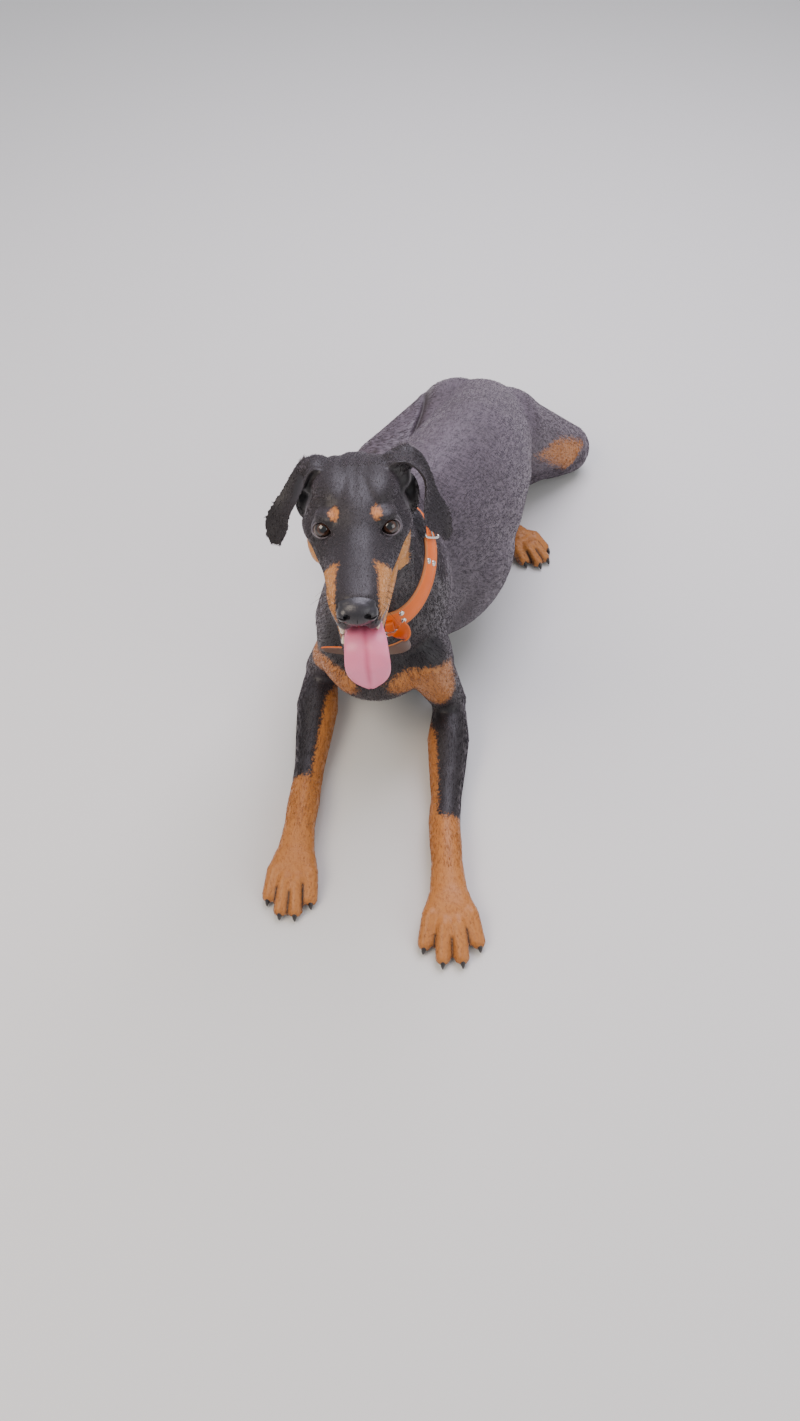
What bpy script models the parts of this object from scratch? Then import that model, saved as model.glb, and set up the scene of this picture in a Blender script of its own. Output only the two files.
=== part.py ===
"""A young doberman pinscher lying on its chest and looking up, life size, in metres.

The dog faces -Y, its left side is +X and the floor is z = 0. Each limb and mass is lofted or
rounded from named joints, the pieces of one region are fused and smoothed into one skin, and
that skin is parted into its named nodes by thin cuts.
"""
import math
from collections import namedtuple

import bmesh
import bpy
from mathutils import Matrix, Vector

GAP = 0.0003
FLOOR = 0.0

TRUNK_TRIANGLES = 4500
HEAD_TRIANGLES = 2000
PAW_TRIANGLES = 700
NOSE_TRIANGLES = 220

# The head's own frame: its origin is midway between the eyes, -Y is the muzzle and +X is left.
HEAD_PLACE = Vector((-0.112, -0.205, 0.446))
HEAD_PITCH = math.radians(12.5)
HEAD_YAW = math.radians(1.5)
HEAD_ROLL = math.radians(-1.8)
EYE_SPACING = 0.063
EYE_RADIUS = 0.0112
EYE_DEPTH = 0.0040
JAW_CORNER = Vector((0.0, -0.012, -0.047))
NOSE_PLANE = -0.1045

# Joints of the trunk, from the breastbone to the tail.
NECK_AXIS = Vector((-0.02, -0.583, 0.812)).normalized()
NECK_TOP = Vector((-0.111, -0.130, 0.385))
NECK_BASE = Vector((-0.092, -0.086, 0.256))
LAST_RIB = Vector((-0.008, 0.135, 0.15))
TRUNK_AXIS = Vector((0.37, 0.93, 0.0)).normalized()
TAIL_ROOT = Vector((0.052, 0.396, 0.176))
TAIL_TIP = Vector((0.064, 0.478, 0.124))
WRIST_CUT = 0.012
HOCK_CUT = 0.60

# The collar lies on the widening base of the neck.
COLLAR_PLACE = Vector((-0.091, -0.119, 0.336))
COLLAR_WIDTH = 0.025
COLLAR_DROP = 0.0200
COLLAR_THICK = 0.0032
COLLAR_TOP = (0.0470, 0.0680, 0.0570)
COLLAR_BOTTOM = (0.0590, 0.0845, 0.0660)

Section = namedtuple("Section", "place wide top bottom pinch keel square cup across")
ForeLeg = namedtuple("ForeLeg", "side shoulder elbow wrist toe splay")
HindLeg = namedtuple("HindLeg", "side hip knee hock toe bulge")

FORELEGS = (
    ForeLeg("left", Vector((-0.044, -0.128, 0.172)), Vector((-0.004, -0.095, 0.043)),
            Vector((-0.015, -0.289, 0.030)), Vector((-0.0095, -0.456, 0.012)), 14.0),
    ForeLeg("right", Vector((-0.132, -0.098, 0.174)), Vector((-0.176, -0.036, 0.043)),
            Vector((-0.1905, -0.241, 0.030)), Vector((-0.2035, -0.394, 0.012)), 8.0),
)
HINDLEGS = (
    HindLeg("left", Vector((0.095, 0.356, 0.134)), Vector((0.198, 0.434, 0.0395)),
            Vector((0.040, 0.335, 0.026)), Vector((0.1515, 0.197, 0.011)), 0.9),
    HindLeg("right", Vector((0.000, 0.352, 0.150)), Vector((-0.097, 0.262, 0.142)),
            Vector((-0.062, 0.415, 0.036)), Vector((-0.132, 0.222, 0.011)), 1.0),
)

# Angles round the collar, in degrees from the throat toward the dog's left.
BUCKLE_ANGLE = 112.0
RING_ANGLE = 9.6
STRAP_START = Vector((-0.072, -0.188, 0.286))
RIVET_PLACES = ((82.0, 0.74), (82.0, 0.30), (25.0, 0.74), (25.0, 0.30))

# The strap's free end from its start: to the left, away from the throat and up the neck.
STRAP_PATH = ((0.0000, 0.0000, 0.0000), (0.0065, 0.0050, -0.0020), (0.0100, 0.0120, -0.0040),
              (0.0080, 0.0200, -0.0060), (-0.0020, 0.0270, -0.0090), (-0.0170, 0.0325, -0.0120),
              (-0.0360, 0.0365, -0.0160), (-0.0560, 0.0380, -0.0210), (-0.0845, 0.0365, -0.0280))

# Linear colour, roughness and metallic of each surface.
COAT = (0.016, 0.015, 0.018), 0.42, 0.0
RUST = (0.40, 0.17, 0.055), 0.60, 0.0
NOSE = (0.012, 0.011, 0.012), 0.38, 0.0
EYE = (0.055, 0.024, 0.010), 0.08, 0.0
TONGUE = (0.68, 0.24, 0.29), 0.40, 0.0
LEATHER = (0.78, 0.17, 0.025), 0.50, 0.0
STEEL = (0.60, 0.60, 0.60), 0.28, 1.0


def section(place, wide, top, bottom=None, pinch=0.0, keel=0.0, square=1.0, cup=0.0, across=None):
    """One outline of a loft: half width, rise and drop from its place, and how it departs from round."""
    return Section(Vector(place), wide, top, top if bottom is None else bottom, pinch, keel, square, cup,
                   across)


def add_object(name, bm):
    """Turn a finished bmesh into an object of the scene."""
    mesh = bpy.data.meshes.new(name)
    bm.to_mesh(mesh)
    bm.free()
    obj = bpy.data.objects.new(name, mesh)
    bpy.context.scene.collection.objects.link(obj)
    return obj


def power(value, exponent):
    """A signed power, which squares off a circle's sine or cosine."""
    return math.copysign(abs(value) ** exponent, value)


def along(low, high, share):
    """The value at a share of the way from low to high."""
    return low + (high - low) * share


def loft(name, sections, upright=(0.0, 0.0, 1.0), sides=20, across=None):
    """A closed body through a row of outlines, each square to the row.

    The outlines stand up along upright or, where the row itself turns down, keep the side
    direction that across gives for the row or for one outline.
    """
    bm = bmesh.new()
    rings = []
    for index, item in enumerate(sections):
        ahead = sections[min(index + 1, len(sections) - 1)].place
        behind = sections[max(index - 1, 0)].place
        course = (ahead - behind).normalized()
        given = item.across or across
        beside = Vector(given) if given else course.cross(Vector(upright))
        beside = (beside - course * beside.dot(course)).normalized()
        turned = Matrix((beside, beside.cross(course), course)).transposed().to_4x4()
        turned.translation = item.place
        ring = bmesh.ops.create_circle(bm, segments=sides, radius=1.0)["verts"]
        for vert in ring:
            side, height = vert.co.x, vert.co.y
            taper = 1.0 - item.pinch * max(height, 0.0) - item.keel * max(-height, 0.0)
            reach = item.top if height > 0.0 else item.bottom
            vert.co = turned @ Vector((power(side, item.square) * item.wide * taper,
                                       power(height, item.square) * reach + item.cup * side ** 2, 0.0))
        rings.append(list({edge for vert in ring for edge in vert.link_edges}))
    for first, second in zip(rings, rings[1:]):
        bmesh.ops.bridge_loops(bm, edges=first + second)
    bmesh.ops.holes_fill(bm, edges=rings[0] + rings[-1], sides=0)
    bmesh.ops.recalc_face_normals(bm, faces=bm.faces)
    return add_object(name, bm)


def bone(name, start, end, first, last, flat=1.0, upright=(0.0, 0.0, 1.0), steps=4):
    """A round-ended limb between two joints; flat scales its height against its width."""
    start, end = Vector(start), Vector(end)
    course = (end - start).normalized()
    sections = []
    for turn in (80.0, 50.0, 22.0):
        size = first * math.cos(math.radians(turn))
        sections.append(section(start - course * first * math.sin(math.radians(turn)), size, size * flat))
    for step in range(steps + 1):
        size = along(first, last, step / steps)
        sections.append(section(start.lerp(end, step / steps), size, size * flat))
    for turn in (22.0, 50.0, 80.0):
        size = last * math.cos(math.radians(turn))
        sections.append(section(end + course * last * math.sin(math.radians(turn)), size, size * flat))
    return loft(name, sections, upright, 16)


def mass(name, place, size, toward=(0.0, 1.0, 0.0), upright=(0.0, 0.0, 1.0), rounds=20):
    """A rounded muscle: half sizes across, along and up, with its length turned toward a direction."""
    course = Vector(toward).normalized()
    across = course.cross(Vector(upright)).normalized()
    turned = Matrix((across, course, across.cross(course))).transposed().to_4x4()
    turned.translation = Vector(place)
    bm = bmesh.new()
    bmesh.ops.create_uvsphere(bm, u_segments=rounds, v_segments=rounds * 3 // 5, radius=1.0)
    bmesh.ops.scale(bm, vec=size, verts=bm.verts)
    bmesh.ops.transform(bm, matrix=turned, verts=bm.verts)
    bmesh.ops.recalc_face_normals(bm, faces=bm.faces)
    return add_object(name, bm)


def apply_modifiers(obj):
    """Replace an object's mesh by what its modifiers make of it."""
    graph = bpy.context.evaluated_depsgraph_get()
    made = bpy.data.meshes.new_from_object(obj.evaluated_get(graph))
    obj.modifiers.clear()
    obj.data = made


def fuse(name, pieces, voxel, passes):
    """One smooth skin over overlapping pieces, which it uses up."""
    bm = bmesh.new()
    for piece in pieces:
        bm.from_mesh(piece.data)
        bpy.data.objects.remove(piece)
    obj = add_object(name, bm)
    remesh = obj.modifiers.new("Fuse", "REMESH")
    remesh.mode = "VOXEL"
    remesh.voxel_size = voxel
    blend = obj.modifiers.new("Blend", "SMOOTH")
    blend.factor = 0.5
    blend.iterations = passes
    apply_modifiers(obj)
    return obj


def thin_to(obj, triangles):
    """Collapse edges until the object has about this many triangles."""
    now = sum(len(face.vertices) - 2 for face in obj.data.polygons)
    if now > triangles:
        fewer = obj.modifiers.new("Fewer", "DECIMATE")
        fewer.ratio = triangles / now
        apply_modifiers(obj)


def keep_largest(bm):
    """Drop every loose scrap of a cut but the largest closed surface."""
    left = set(bm.verts)
    islands = []
    while left:
        island = {left.pop()}
        edge_of_search = list(island)
        while edge_of_search:
            vert = edge_of_search.pop()
            for edge in vert.link_edges:
                other = edge.other_vert(vert)
                if other not in island:
                    island.add(other)
                    left.discard(other)
                    edge_of_search.append(other)
        islands.append(island)
    islands.sort(key=len)
    for island in islands[:-1]:
        bmesh.ops.delete(bm, geom=list(island), context="VERTS")


def trim(obj, place, outward):
    """Cut off what lies beyond a plane and close the cut with a flat face."""
    bm = bmesh.new()
    bm.from_mesh(obj.data)
    cut = bmesh.ops.bisect_plane(bm, geom=bm.verts[:] + bm.edges[:] + bm.faces[:], dist=1e-6,
                                 plane_co=place, plane_no=outward, clear_outer=True)
    rim = [item for item in cut["geom_cut"] if isinstance(item, bmesh.types.BMEdge)]
    filled = bmesh.ops.holes_fill(bm, edges=rim, sides=0)["faces"]
    bmesh.ops.triangulate(bm, faces=filled)
    keep_largest(bm)
    bm.to_mesh(obj.data)
    bm.free()


def boolean(obj, others, operation):
    """Join to, or cut from, an object a row of closed helpers, which it uses up."""
    held = bpy.data.collections.new("Helpers")
    bpy.context.scene.collection.children.link(held)
    for other in others:
        for owner in other.users_collection:
            owner.objects.unlink(other)
        held.objects.link(other)
    step = obj.modifiers.new("Boolean", "BOOLEAN")
    step.operation = operation
    step.operand_type = "COLLECTION"
    step.collection = held
    apply_modifiers(obj)
    for other in others:
        bpy.data.objects.remove(other)
    bpy.data.collections.remove(held)
    bm = bmesh.new()
    bm.from_mesh(obj.data)
    keep_largest(bm)
    bm.to_mesh(obj.data)
    bm.free()


def slab(place, normal, across, height, upright=(0.0, 0.0, 1.0), thick=GAP):
    """A thin cutting plate: half sizes across and up, centred on a place and square to a normal."""
    normal = Vector(normal).normalized()
    side = Vector(upright).cross(normal).normalized()
    rise = normal.cross(side)
    turned = Matrix((side, rise, normal)).transposed().to_4x4()
    turned.translation = Vector(place)
    bm = bmesh.new()
    bmesh.ops.create_cube(bm, size=1.0)
    bmesh.ops.scale(bm, vec=(2.0 * across, 2.0 * height, thick), verts=bm.verts)
    bmesh.ops.transform(bm, matrix=turned, verts=bm.verts)
    return add_object("Slab", bm)


def part(obj, slabs, seeds):
    """Split a skin by plates into one object for each name, the island nearest to its seed."""
    bm = bmesh.new()
    for plate in slabs:
        bm.from_mesh(plate.data)
        bpy.data.objects.remove(plate)
    plates = add_object("Plates", bm)
    cut = obj.modifiers.new("Part", "BOOLEAN")
    cut.operation = "DIFFERENCE"
    cut.object = plates
    cut.use_self = True
    apply_modifiers(obj)
    bpy.data.objects.remove(plates)
    whole = bmesh.new()
    whole.from_mesh(obj.data)
    pieces = {}
    for name, seed in seeds.items():
        nearest = min(whole.verts, key=lambda vert: (vert.co - Vector(seed)).length_squared)
        island = {nearest}
        edge_of_search = [nearest]
        while edge_of_search:
            vert = edge_of_search.pop()
            for edge in vert.link_edges:
                other = edge.other_vert(vert)
                if other not in island:
                    island.add(other)
                    edge_of_search.append(other)
        indices = {vert.index for vert in island}
        piece = whole.copy()
        piece.verts.ensure_lookup_table()
        doomed = [vert for vert in piece.verts if vert.index not in indices]
        bmesh.ops.delete(piece, geom=doomed, context="VERTS")
        pieces[name] = add_object(name, piece)
    whole.free()
    bpy.data.objects.remove(obj)
    return pieces


def head_frame():
    """The matrix that takes the head's own frame to the dog's."""
    turn = (Matrix.Rotation(HEAD_YAW, 4, "Z") @ Matrix.Rotation(-HEAD_PITCH, 4, "X")
            @ Matrix.Rotation(HEAD_ROLL, 4, "Y"))
    return Matrix.Translation(HEAD_PLACE) @ turn


def trunk_axis():
    """Outlines of the trunk from breastbone to buttock: the spine bends to the dog's left."""
    return [
        section((-0.105, -0.158, 0.165), 0.020, 0.020, 0.020),
        section((-0.105, -0.150, 0.165), 0.048, 0.045, 0.048),
        section((-0.103, -0.125, 0.160), 0.068, 0.070, 0.070),
        section((-0.0985, -0.070, 0.165), 0.081, 0.105, 0.125, 0.25, 0.28),
        section((-0.077, 0.005, 0.165), 0.091, 0.147, 0.168, 0.42, 0.26),
        section((-0.038, 0.085, 0.163), 0.101, 0.137, 0.158, 0.25, 0.20),
        section((0.000, 0.165, 0.160), 0.104, 0.125, 0.128, 0.20, 0.15),
        section((0.030, 0.245, 0.160), 0.092, 0.107, 0.098, 0.20, 0.20),
        section((0.046, 0.310, 0.155), 0.080, 0.083, 0.080, 0.15, 0.15),
        section((0.051, 0.360, 0.145), 0.070, 0.070, 0.070),
        section((0.053, 0.395, 0.135), 0.048, 0.050, 0.050),
        section((0.053, 0.410, 0.130), 0.020, 0.022, 0.022),
    ]


def neck_axis():
    """Outlines of the neck from the chest to under the skull; their rise is toward the nape."""
    return [
        section((-0.080, -0.030, 0.190), 0.074, 0.096, 0.096),
        section((-0.084, -0.062, 0.236), 0.075, 0.092, 0.098),
        section((-0.088, -0.084, 0.276), 0.069, 0.080, 0.095),
        section((-0.0905, -0.105, 0.317), 0.0575, 0.065, 0.083),
        section((-0.091, -0.119, 0.336), 0.0465, 0.057, 0.067),
        section((-0.098, -0.134, 0.362), 0.0450, 0.055, 0.059),
        section((-0.108, -0.138, 0.392), 0.047, 0.054, 0.056),
        section((-0.112, -0.140, 0.420), 0.044, 0.046, 0.050),
    ]


def shoulder_masses(leg):
    """Shoulder blade, upper arm, elbow and forearm of one foreleg."""
    out = 1.0 if leg.side == "left" else -1.0
    withers = Vector((-0.073, 0.004, 0.268)) + Vector((out * 0.022, 0.0, 0.0))
    blade = leg.shoulder.lerp(withers, 0.45) - Vector((out * 0.006, -0.012, 0.006))
    arm = leg.shoulder.lerp(leg.elbow, 0.45)
    behind = Vector((-out * 0.008, 0.032, 0.012))
    return [
        mass("Blade", blade, (0.060, 0.110, 0.028), withers - leg.shoulder, (out, 0.0, 0.45)),
        bone("Arm", leg.shoulder, leg.elbow, 0.032, 0.026, 1.10, (out, 0.0, 0.0)),
        mass("Triceps", arm + behind, (0.052, 0.080, 0.028), leg.shoulder - leg.elbow, (out, 0.0, 0.0)),
        bone("Elbow", leg.elbow, leg.elbow + Vector((0.0, 0.026, -0.008)), 0.026, 0.017),
    ]


def forearm(leg, end=1.12):
    """The forearm, flat on the floor, from the elbow to past the wrist."""
    reach = leg.wrist - leg.elbow
    shape = ((-0.05, 0.026, 0.031), (0.10, 0.0285, 0.034), (0.28, 0.0275, 0.031), (0.50, 0.0235, 0.025),
             (0.72, 0.0195, 0.021), (0.90, 0.0190, 0.0195), (1.0, 0.0200, 0.0200), (end, 0.0185, 0.0185))
    sections = []
    for share, wide, tall in shape:
        place = leg.elbow + reach * share
        place.z = max(tall - 0.0015, 0.020)
        sections.append(section(place, wide, tall, square=0.9))
    return loft("Forearm", sections, sides=16)


def shank_masses(leg):
    """The shank of one hind leg, from its knee to its hock."""
    calf = leg.knee.lerp(leg.hock, 0.42) + Vector((0.0, 0.004, 0.006))
    return [
        mass("Calf", calf, (0.037, 0.086, 0.035), leg.hock - leg.knee),
        bone("Shank", leg.knee, leg.hock, 0.036, 0.019),
    ]


def hind_masses(leg):
    """Thigh and folded shank of one hind leg."""
    out = 1.0 if leg.side == "left" else -1.0
    haunch = leg.hip + Vector((-out * 0.006, 0.006, 0.004))
    ham = leg.hip.lerp(leg.knee, 0.42).lerp(leg.knee.lerp(leg.hock, 0.55), 0.36)
    return [
        mass("Haunch", haunch, (0.056, 0.072, 0.058), leg.knee - leg.hip),
        bone("Thigh", leg.hip, leg.knee, 0.057, 0.041, 1.0),
        mass("Ham", ham, (0.048 * leg.bulge, 0.092, 0.046), leg.knee - leg.hip),
        bone("Knee", leg.knee, leg.knee.lerp(leg.hock, 0.18), 0.042, 0.037),
    ] + shank_masses(leg)


def build_trunk():
    """Neck, trunk, upper legs and tail as one skin, parted by thin cuts."""
    pieces = [
        loft("Trunk", trunk_axis(), sides=28),
        loft("Neck", neck_axis(), sides=24, across=(-1.0, 0.0, 0.0)),
    ]
    for leg in FORELEGS:
        pieces += shoulder_masses(leg)
        pieces.append(forearm(leg))
    for leg in HINDLEGS:
        pieces += hind_masses(leg)
    pieces += [
        mass("Breast", (-0.098, -0.128, 0.156), (0.060, 0.040, 0.054)),
        mass("Croup", (0.048, 0.310, 0.160), (0.066, 0.078, 0.062), TRUNK_AXIS),
        bone("Tail", TAIL_ROOT - Vector((0.0, 0.028, 0.0)), TAIL_TIP, 0.018, 0.0105),
    ]
    skin = fuse("Skin", pieces, 0.0046, 14)
    trim(skin, (0.0, 0.0, FLOOR), (0.0, 0.0, -1.0))
    thin_to(skin, TRUNK_TRIANGLES)
    trim(skin, (0.0, 0.0, FLOOR), (0.0, 0.0, -1.0))
    trim(skin, NECK_TOP - NECK_AXIS * GAP, NECK_AXIS)
    boolean(skin, [shank_room(leg, 1.0, 0.042) for leg in HINDLEGS], "DIFFERENCE")
    slabs = [
        slab(NECK_BASE, NECK_AXIS, 0.13, 0.15),
        slab(LAST_RIB, TRUNK_AXIS, 0.135, 0.20),
        slab(TAIL_ROOT.lerp(TAIL_TIP, 0.58), TAIL_TIP - TAIL_ROOT, 0.030, 0.030),
    ]
    for leg in FORELEGS:
        slabs += foreleg_slabs(leg)
    for leg in HINDLEGS:
        slabs.append(hip_slab(leg))
    seeds = {
        "neck": (-0.10, -0.19, 0.25),
        "chest": (-0.077, 0.005, 0.31),
        "hindquarters": (0.046, 0.28, 0.25),
        "tail": TAIL_TIP,
    }
    for leg in FORELEGS:
        out = 1.0 if leg.side == "left" else -1.0
        seeds[f"upper_arm_{leg.side}"] = leg.shoulder.lerp(leg.elbow, 0.6) + Vector((out * 0.05, 0.0, 0.0))
        seeds[f"forearm_{leg.side}"] = leg.elbow.lerp(leg.wrist, 0.6) + Vector((0.0, 0.0, 0.03))
    for leg in HINDLEGS:
        out = 1.0 if leg.side == "left" else -1.0
        seeds[f"thigh_{leg.side}"] = leg.knee + Vector((out * 0.05, 0.0, 0.03))
    return part(skin, slabs, seeds)


def wrist_normal(leg):
    """The direction of a forearm, square to its wrist's cut."""
    course = leg.wrist - leg.elbow
    course.z = 0.0
    return course.normalized()


def foreleg_slabs(leg):
    """The cuts at one foreleg's shoulder, elbow and wrist."""
    out = 1.0 if leg.side == "left" else -1.0
    armpit = leg.elbow + Vector((-out * 0.028, -0.020, 0.012))
    lean = Vector((out * 0.27, 0.0, 0.96)).normalized()
    flank = Vector((0.25 if leg.side == "left" else 0.02, 1.0, 0.0))
    inward = lean.cross(flank).normalized()
    crook = Vector((0.0, -0.66, -0.75))
    return [
        slab(armpit + lean * 0.075, inward, 0.150, 0.150, lean),
        slab(leg.elbow + Vector((out * 0.012, -0.012, 0.010)), crook, 0.068, 0.095),
        slab(leg.wrist - wrist_normal(leg) * WRIST_CUT, wrist_normal(leg), 0.05, 0.05),
    ]


def hip_slab(leg):
    """The cut between the trunk and one folded hind leg."""
    if leg.side == "left":
        return slab((0.106, 0.335, 0.13), (0.95, 0.23, -0.22), 0.145, 0.16)
    return slab((-0.036, 0.326, 0.12), (-0.87, 0.49, 0.0), 0.175, 0.15)


def shank_room(leg, way, height, shift=0.0):
    """The room round a shank on one side of its cut: way is 1 toward the hock and -1 toward the knee."""
    course = (leg.hock - leg.knee).normalized()
    rise = course.cross(Vector((0.0, 0.0, 1.0))).normalized().cross(course)
    length = 0.20
    start = leg.knee.lerp(leg.hock, HOCK_CUT) + course * way * (length - GAP) / 2.0
    return slab(start + rise * shift, course, 0.050, height, thick=length)


def toe_pieces(root, course, length, size, arch, claw=0.008):
    """One toe: an arched pair of joints, its pad, and the claw beyond its tip."""
    knuckle = root + course * length * 0.42 + Vector((0.0, 0.0, arch))
    tip = root + course * length
    tip.z = size * 0.92
    pad = tip - course * size * 0.7 - Vector((0.0, 0.0, size * 0.25))
    nail = tip + course * size * 0.42 + Vector((0.0, 0.0, size * 0.10))
    point = nail + course * claw + Vector((0.0, 0.0, -size * 0.72))
    return [
        bone("Toe", root, knuckle, size * 1.02, size * 1.02),
        bone("Tip", knuckle, tip, size * 1.02, size * 0.93),
        bone("Pad", pad, tip, size * 0.85, size * 0.80),
        bone("Claw", nail, point, size * 0.36, size * 0.13),
    ]


def paw(root, course, width, toe_length, size, splay, palm):
    """Four toes fanned about a course, with the main pad beneath their roots."""
    side = Vector((course.y, -course.x, 0.0))
    pieces = []
    for place in (-1.5, -0.5, 0.5, 1.5):
        turn = Matrix.Rotation(math.radians(-splay * place), 3, "Z")
        outer = abs(place) > 1.0
        start = root + side * width * place / 3.0 - course * (0.010 if outer else 0.0)
        start.z = size * 1.75
        reach = toe_length * (0.88 if outer else 1.0)
        pieces += toe_pieces(start, turn @ course, reach, size, size * 0.32)
    pad = root - course * 0.002
    pad.z = palm * 0.40
    pieces.append(mass("Palm", pad, (width * 0.52, palm * 1.15, palm * 0.75), course))
    return pieces


def build_forepaw(leg):
    """Wrist, pastern and paw of one foreleg."""
    course = leg.toe - leg.wrist
    course.z = 0.0
    length = course.length
    course.normalize()
    heel = leg.toe - course * (length * 0.46)
    heel.z = 0.021
    middle = leg.wrist.lerp(heel, 0.45)
    stop = leg.wrist - wrist_normal(leg) * (WRIST_CUT - GAP * 0.5)
    arm = forearm(leg, 1.0)
    shape = [
        section(leg.wrist - course * 0.006, 0.0205, 0.0195),
        section(leg.wrist + course * 0.012, 0.0200, 0.0190),
        section(middle, 0.0178, 0.0160, 0.0160),
        section(heel, 0.0215, 0.0150, 0.0150, square=0.85),
        section(heel + course * 0.012, 0.0190, 0.0120, 0.0120, square=0.85),
    ]
    behind = leg.wrist + course * 0.022 + Vector((0.0, 0.0, -0.017))
    stopper = mass("Stopper", behind, (0.009, 0.011, 0.008), course)
    pieces = [arm, loft("Pastern", shape, sides=16), stopper]
    pieces += paw(heel + course * 0.006, course, 0.036, length * 0.36, 0.0103, leg.splay / 1.5, 0.017)
    skin = fuse(f"forepaw_{leg.side}", pieces, 0.0019, 3)
    trim(skin, (0.0, 0.0, FLOOR), (0.0, 0.0, -1.0))
    trim(skin, stop, -wrist_normal(leg))
    thin_to(skin, PAW_TRIANGLES)
    trim(skin, (0.0, 0.0, FLOOR), (0.0, 0.0, -1.0))
    trim(skin, stop, -wrist_normal(leg))
    return {skin.name: skin}


def build_hindfoot(leg):
    """Hock, long hind pastern and paw of one hind leg, flat on the floor."""
    course = leg.toe - leg.hock
    course.z = 0.0
    length = course.length
    course.normalize()
    heel = leg.toe - course * (length * 0.33)
    heel.z = 0.020
    ankle = leg.hock + Vector((0.0, 0.0, -leg.hock.z + 0.024))
    shape = [
        section(ankle - course * 0.010, 0.0130, 0.0150, 0.0150),
        section(ankle + course * 0.010, 0.0165, 0.0210, 0.0210),
        section(ankle.lerp(heel, 0.35), 0.0150, 0.0160, 0.0160),
        section(ankle.lerp(heel, 0.75), 0.0150, 0.0135, 0.0135),
        section(heel, 0.0185, 0.0135, 0.0135, square=0.85),
        section(heel + course * 0.010, 0.0165, 0.0110, 0.0110, square=0.85),
    ]
    point = ankle - course * 0.022 + Vector((0.0, 0.0, 0.004))
    heel_bone = bone("Heel", ankle - course * 0.004, point, 0.0150, 0.0105)
    pieces = [loft("Pastern", shape, sides=16), heel_bone]
    pieces += shank_masses(leg)
    pieces += paw(heel + course * 0.005, course, 0.031, length * 0.235, 0.0095, 7.0, 0.014)
    skin = fuse(f"hindfoot_{leg.side}", pieces, 0.0019, 3)
    thin_to(skin, PAW_TRIANGLES * 4 // 3)
    trim(skin, (0.0, 0.0, FLOOR), (0.0, 0.0, -1.0))
    boolean(skin, [shank_room(leg, -1.0, 0.062, 0.017)], "DIFFERENCE")
    return {skin.name: skin}


def skull_sections():
    """Outlines of the skull and upper jaw from the nose to the back of the head, in the head's frame."""
    rows = (
        (-0.110, 0.0150, -0.009, -0.036, 0.10, 0.10, 0.75),
        (-0.106, 0.0205, -0.005, -0.040, 0.10, 0.00, 0.72),
        (-0.094, 0.0245, -0.002, -0.044, 0.14, -0.05, 0.70),
        (-0.074, 0.0275, 0.001, -0.047, 0.20, -0.08, 0.70),
        (-0.052, 0.0305, 0.004, -0.049, 0.27, -0.06, 0.72),
        (-0.030, 0.0345, 0.008, -0.050, 0.36, 0.00, 0.76),
        (-0.012, 0.0405, 0.015, -0.052, 0.42, 0.05, 0.82),
        (0.006, 0.0470, 0.026, -0.056, 0.38, 0.15, 0.88),
        (0.026, 0.0525, 0.036, -0.058, 0.28, 0.25, 0.92),
        (0.048, 0.0540, 0.041, -0.058, 0.20, 0.30, 0.95),
        (0.070, 0.0510, 0.042, -0.055, 0.15, 0.30, 0.95),
        (0.090, 0.0440, 0.038, -0.048, 0.15, 0.20, 0.95),
        (0.107, 0.0330, 0.030, -0.038, 0.10, 0.10, 1.0),
        (0.119, 0.0190, 0.018, -0.024, 0.0, 0.0, 1.0),
    )
    sections = []
    for place, wide, top, bottom, pinch, keel, square in rows:
        middle = (top + bottom) / 2.0
        half = (top - bottom) / 2.0
        sections.append(section((0.0, place, middle), wide, half, half, pinch, keel, square))
    return sections


def jaw_sections():
    """Outlines of the lower jaw, let down from its hinge, from the chin back."""
    rows = (
        (-0.097, 0.0110, -0.076, -0.088),
        (-0.092, 0.0165, -0.070, -0.091),
        (-0.078, 0.0200, -0.067, -0.094),
        (-0.052, 0.0240, -0.062, -0.094),
        (-0.024, 0.0290, -0.057, -0.091),
        (0.004, 0.0350, -0.050, -0.087),
        (0.034, 0.0400, -0.040, -0.084),
        (0.060, 0.0400, -0.030, -0.076),
    )
    return [section((0.0, place, (top + bottom) / 2.0), wide, (top - bottom) / 2.0, keel=0.25, square=0.8)
            for place, wide, top, bottom in rows]


def mirrored(make, name, place, *rest):
    """The same mass on the left and right of the head."""
    x, y, z = place
    flipped = [rest[0]] + [(-way[0], way[1], way[2]) for way in rest[1:]]
    return [make(name, (x, y, z), *rest), make(name, (-x, y, z), *flipped)]


def head_masses():
    """Brows, cheekbones, cheeks, lips and the muscle of the crown."""
    pieces = [loft("Skull", skull_sections(), sides=28), loft("Jaw", jaw_sections(), sides=20)]
    pieces += mirrored(mass, "Brow", (0.0245, 0.007, 0.0125), (0.0165, 0.0170, 0.0085))
    along_cheek = (0.30, 1.0, 0.05)
    pieces += mirrored(mass, "Cheekbone", (0.0405, 0.022, -0.012), (0.0130, 0.0340, 0.0120), along_cheek)
    pieces += mirrored(mass, "Cheek", (0.0385, 0.048, -0.034), (0.0150, 0.0330, 0.0270))
    pieces += mirrored(mass, "Crown", (0.0200, 0.054, 0.0200), (0.0240, 0.0480, 0.0220))
    pieces += mirrored(mass, "Lip", (0.0215, -0.062, -0.0415), (0.0085, 0.0400, 0.0105), (0.16, 1.0, 0.0))
    pieces += mirrored(mass, "Lid", (EYE_SPACING / 2.0, EYE_DEPTH + 0.0015, 0.0), (0.0138, 0.0125, 0.0128))
    into_ear = (-0.25, 1.0, 0.1)
    pieces += mirrored(mass, "EarRoot", (0.0390, 0.068, 0.0290), (0.0170, 0.0200, 0.0150), into_ear)
    return pieces


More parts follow.
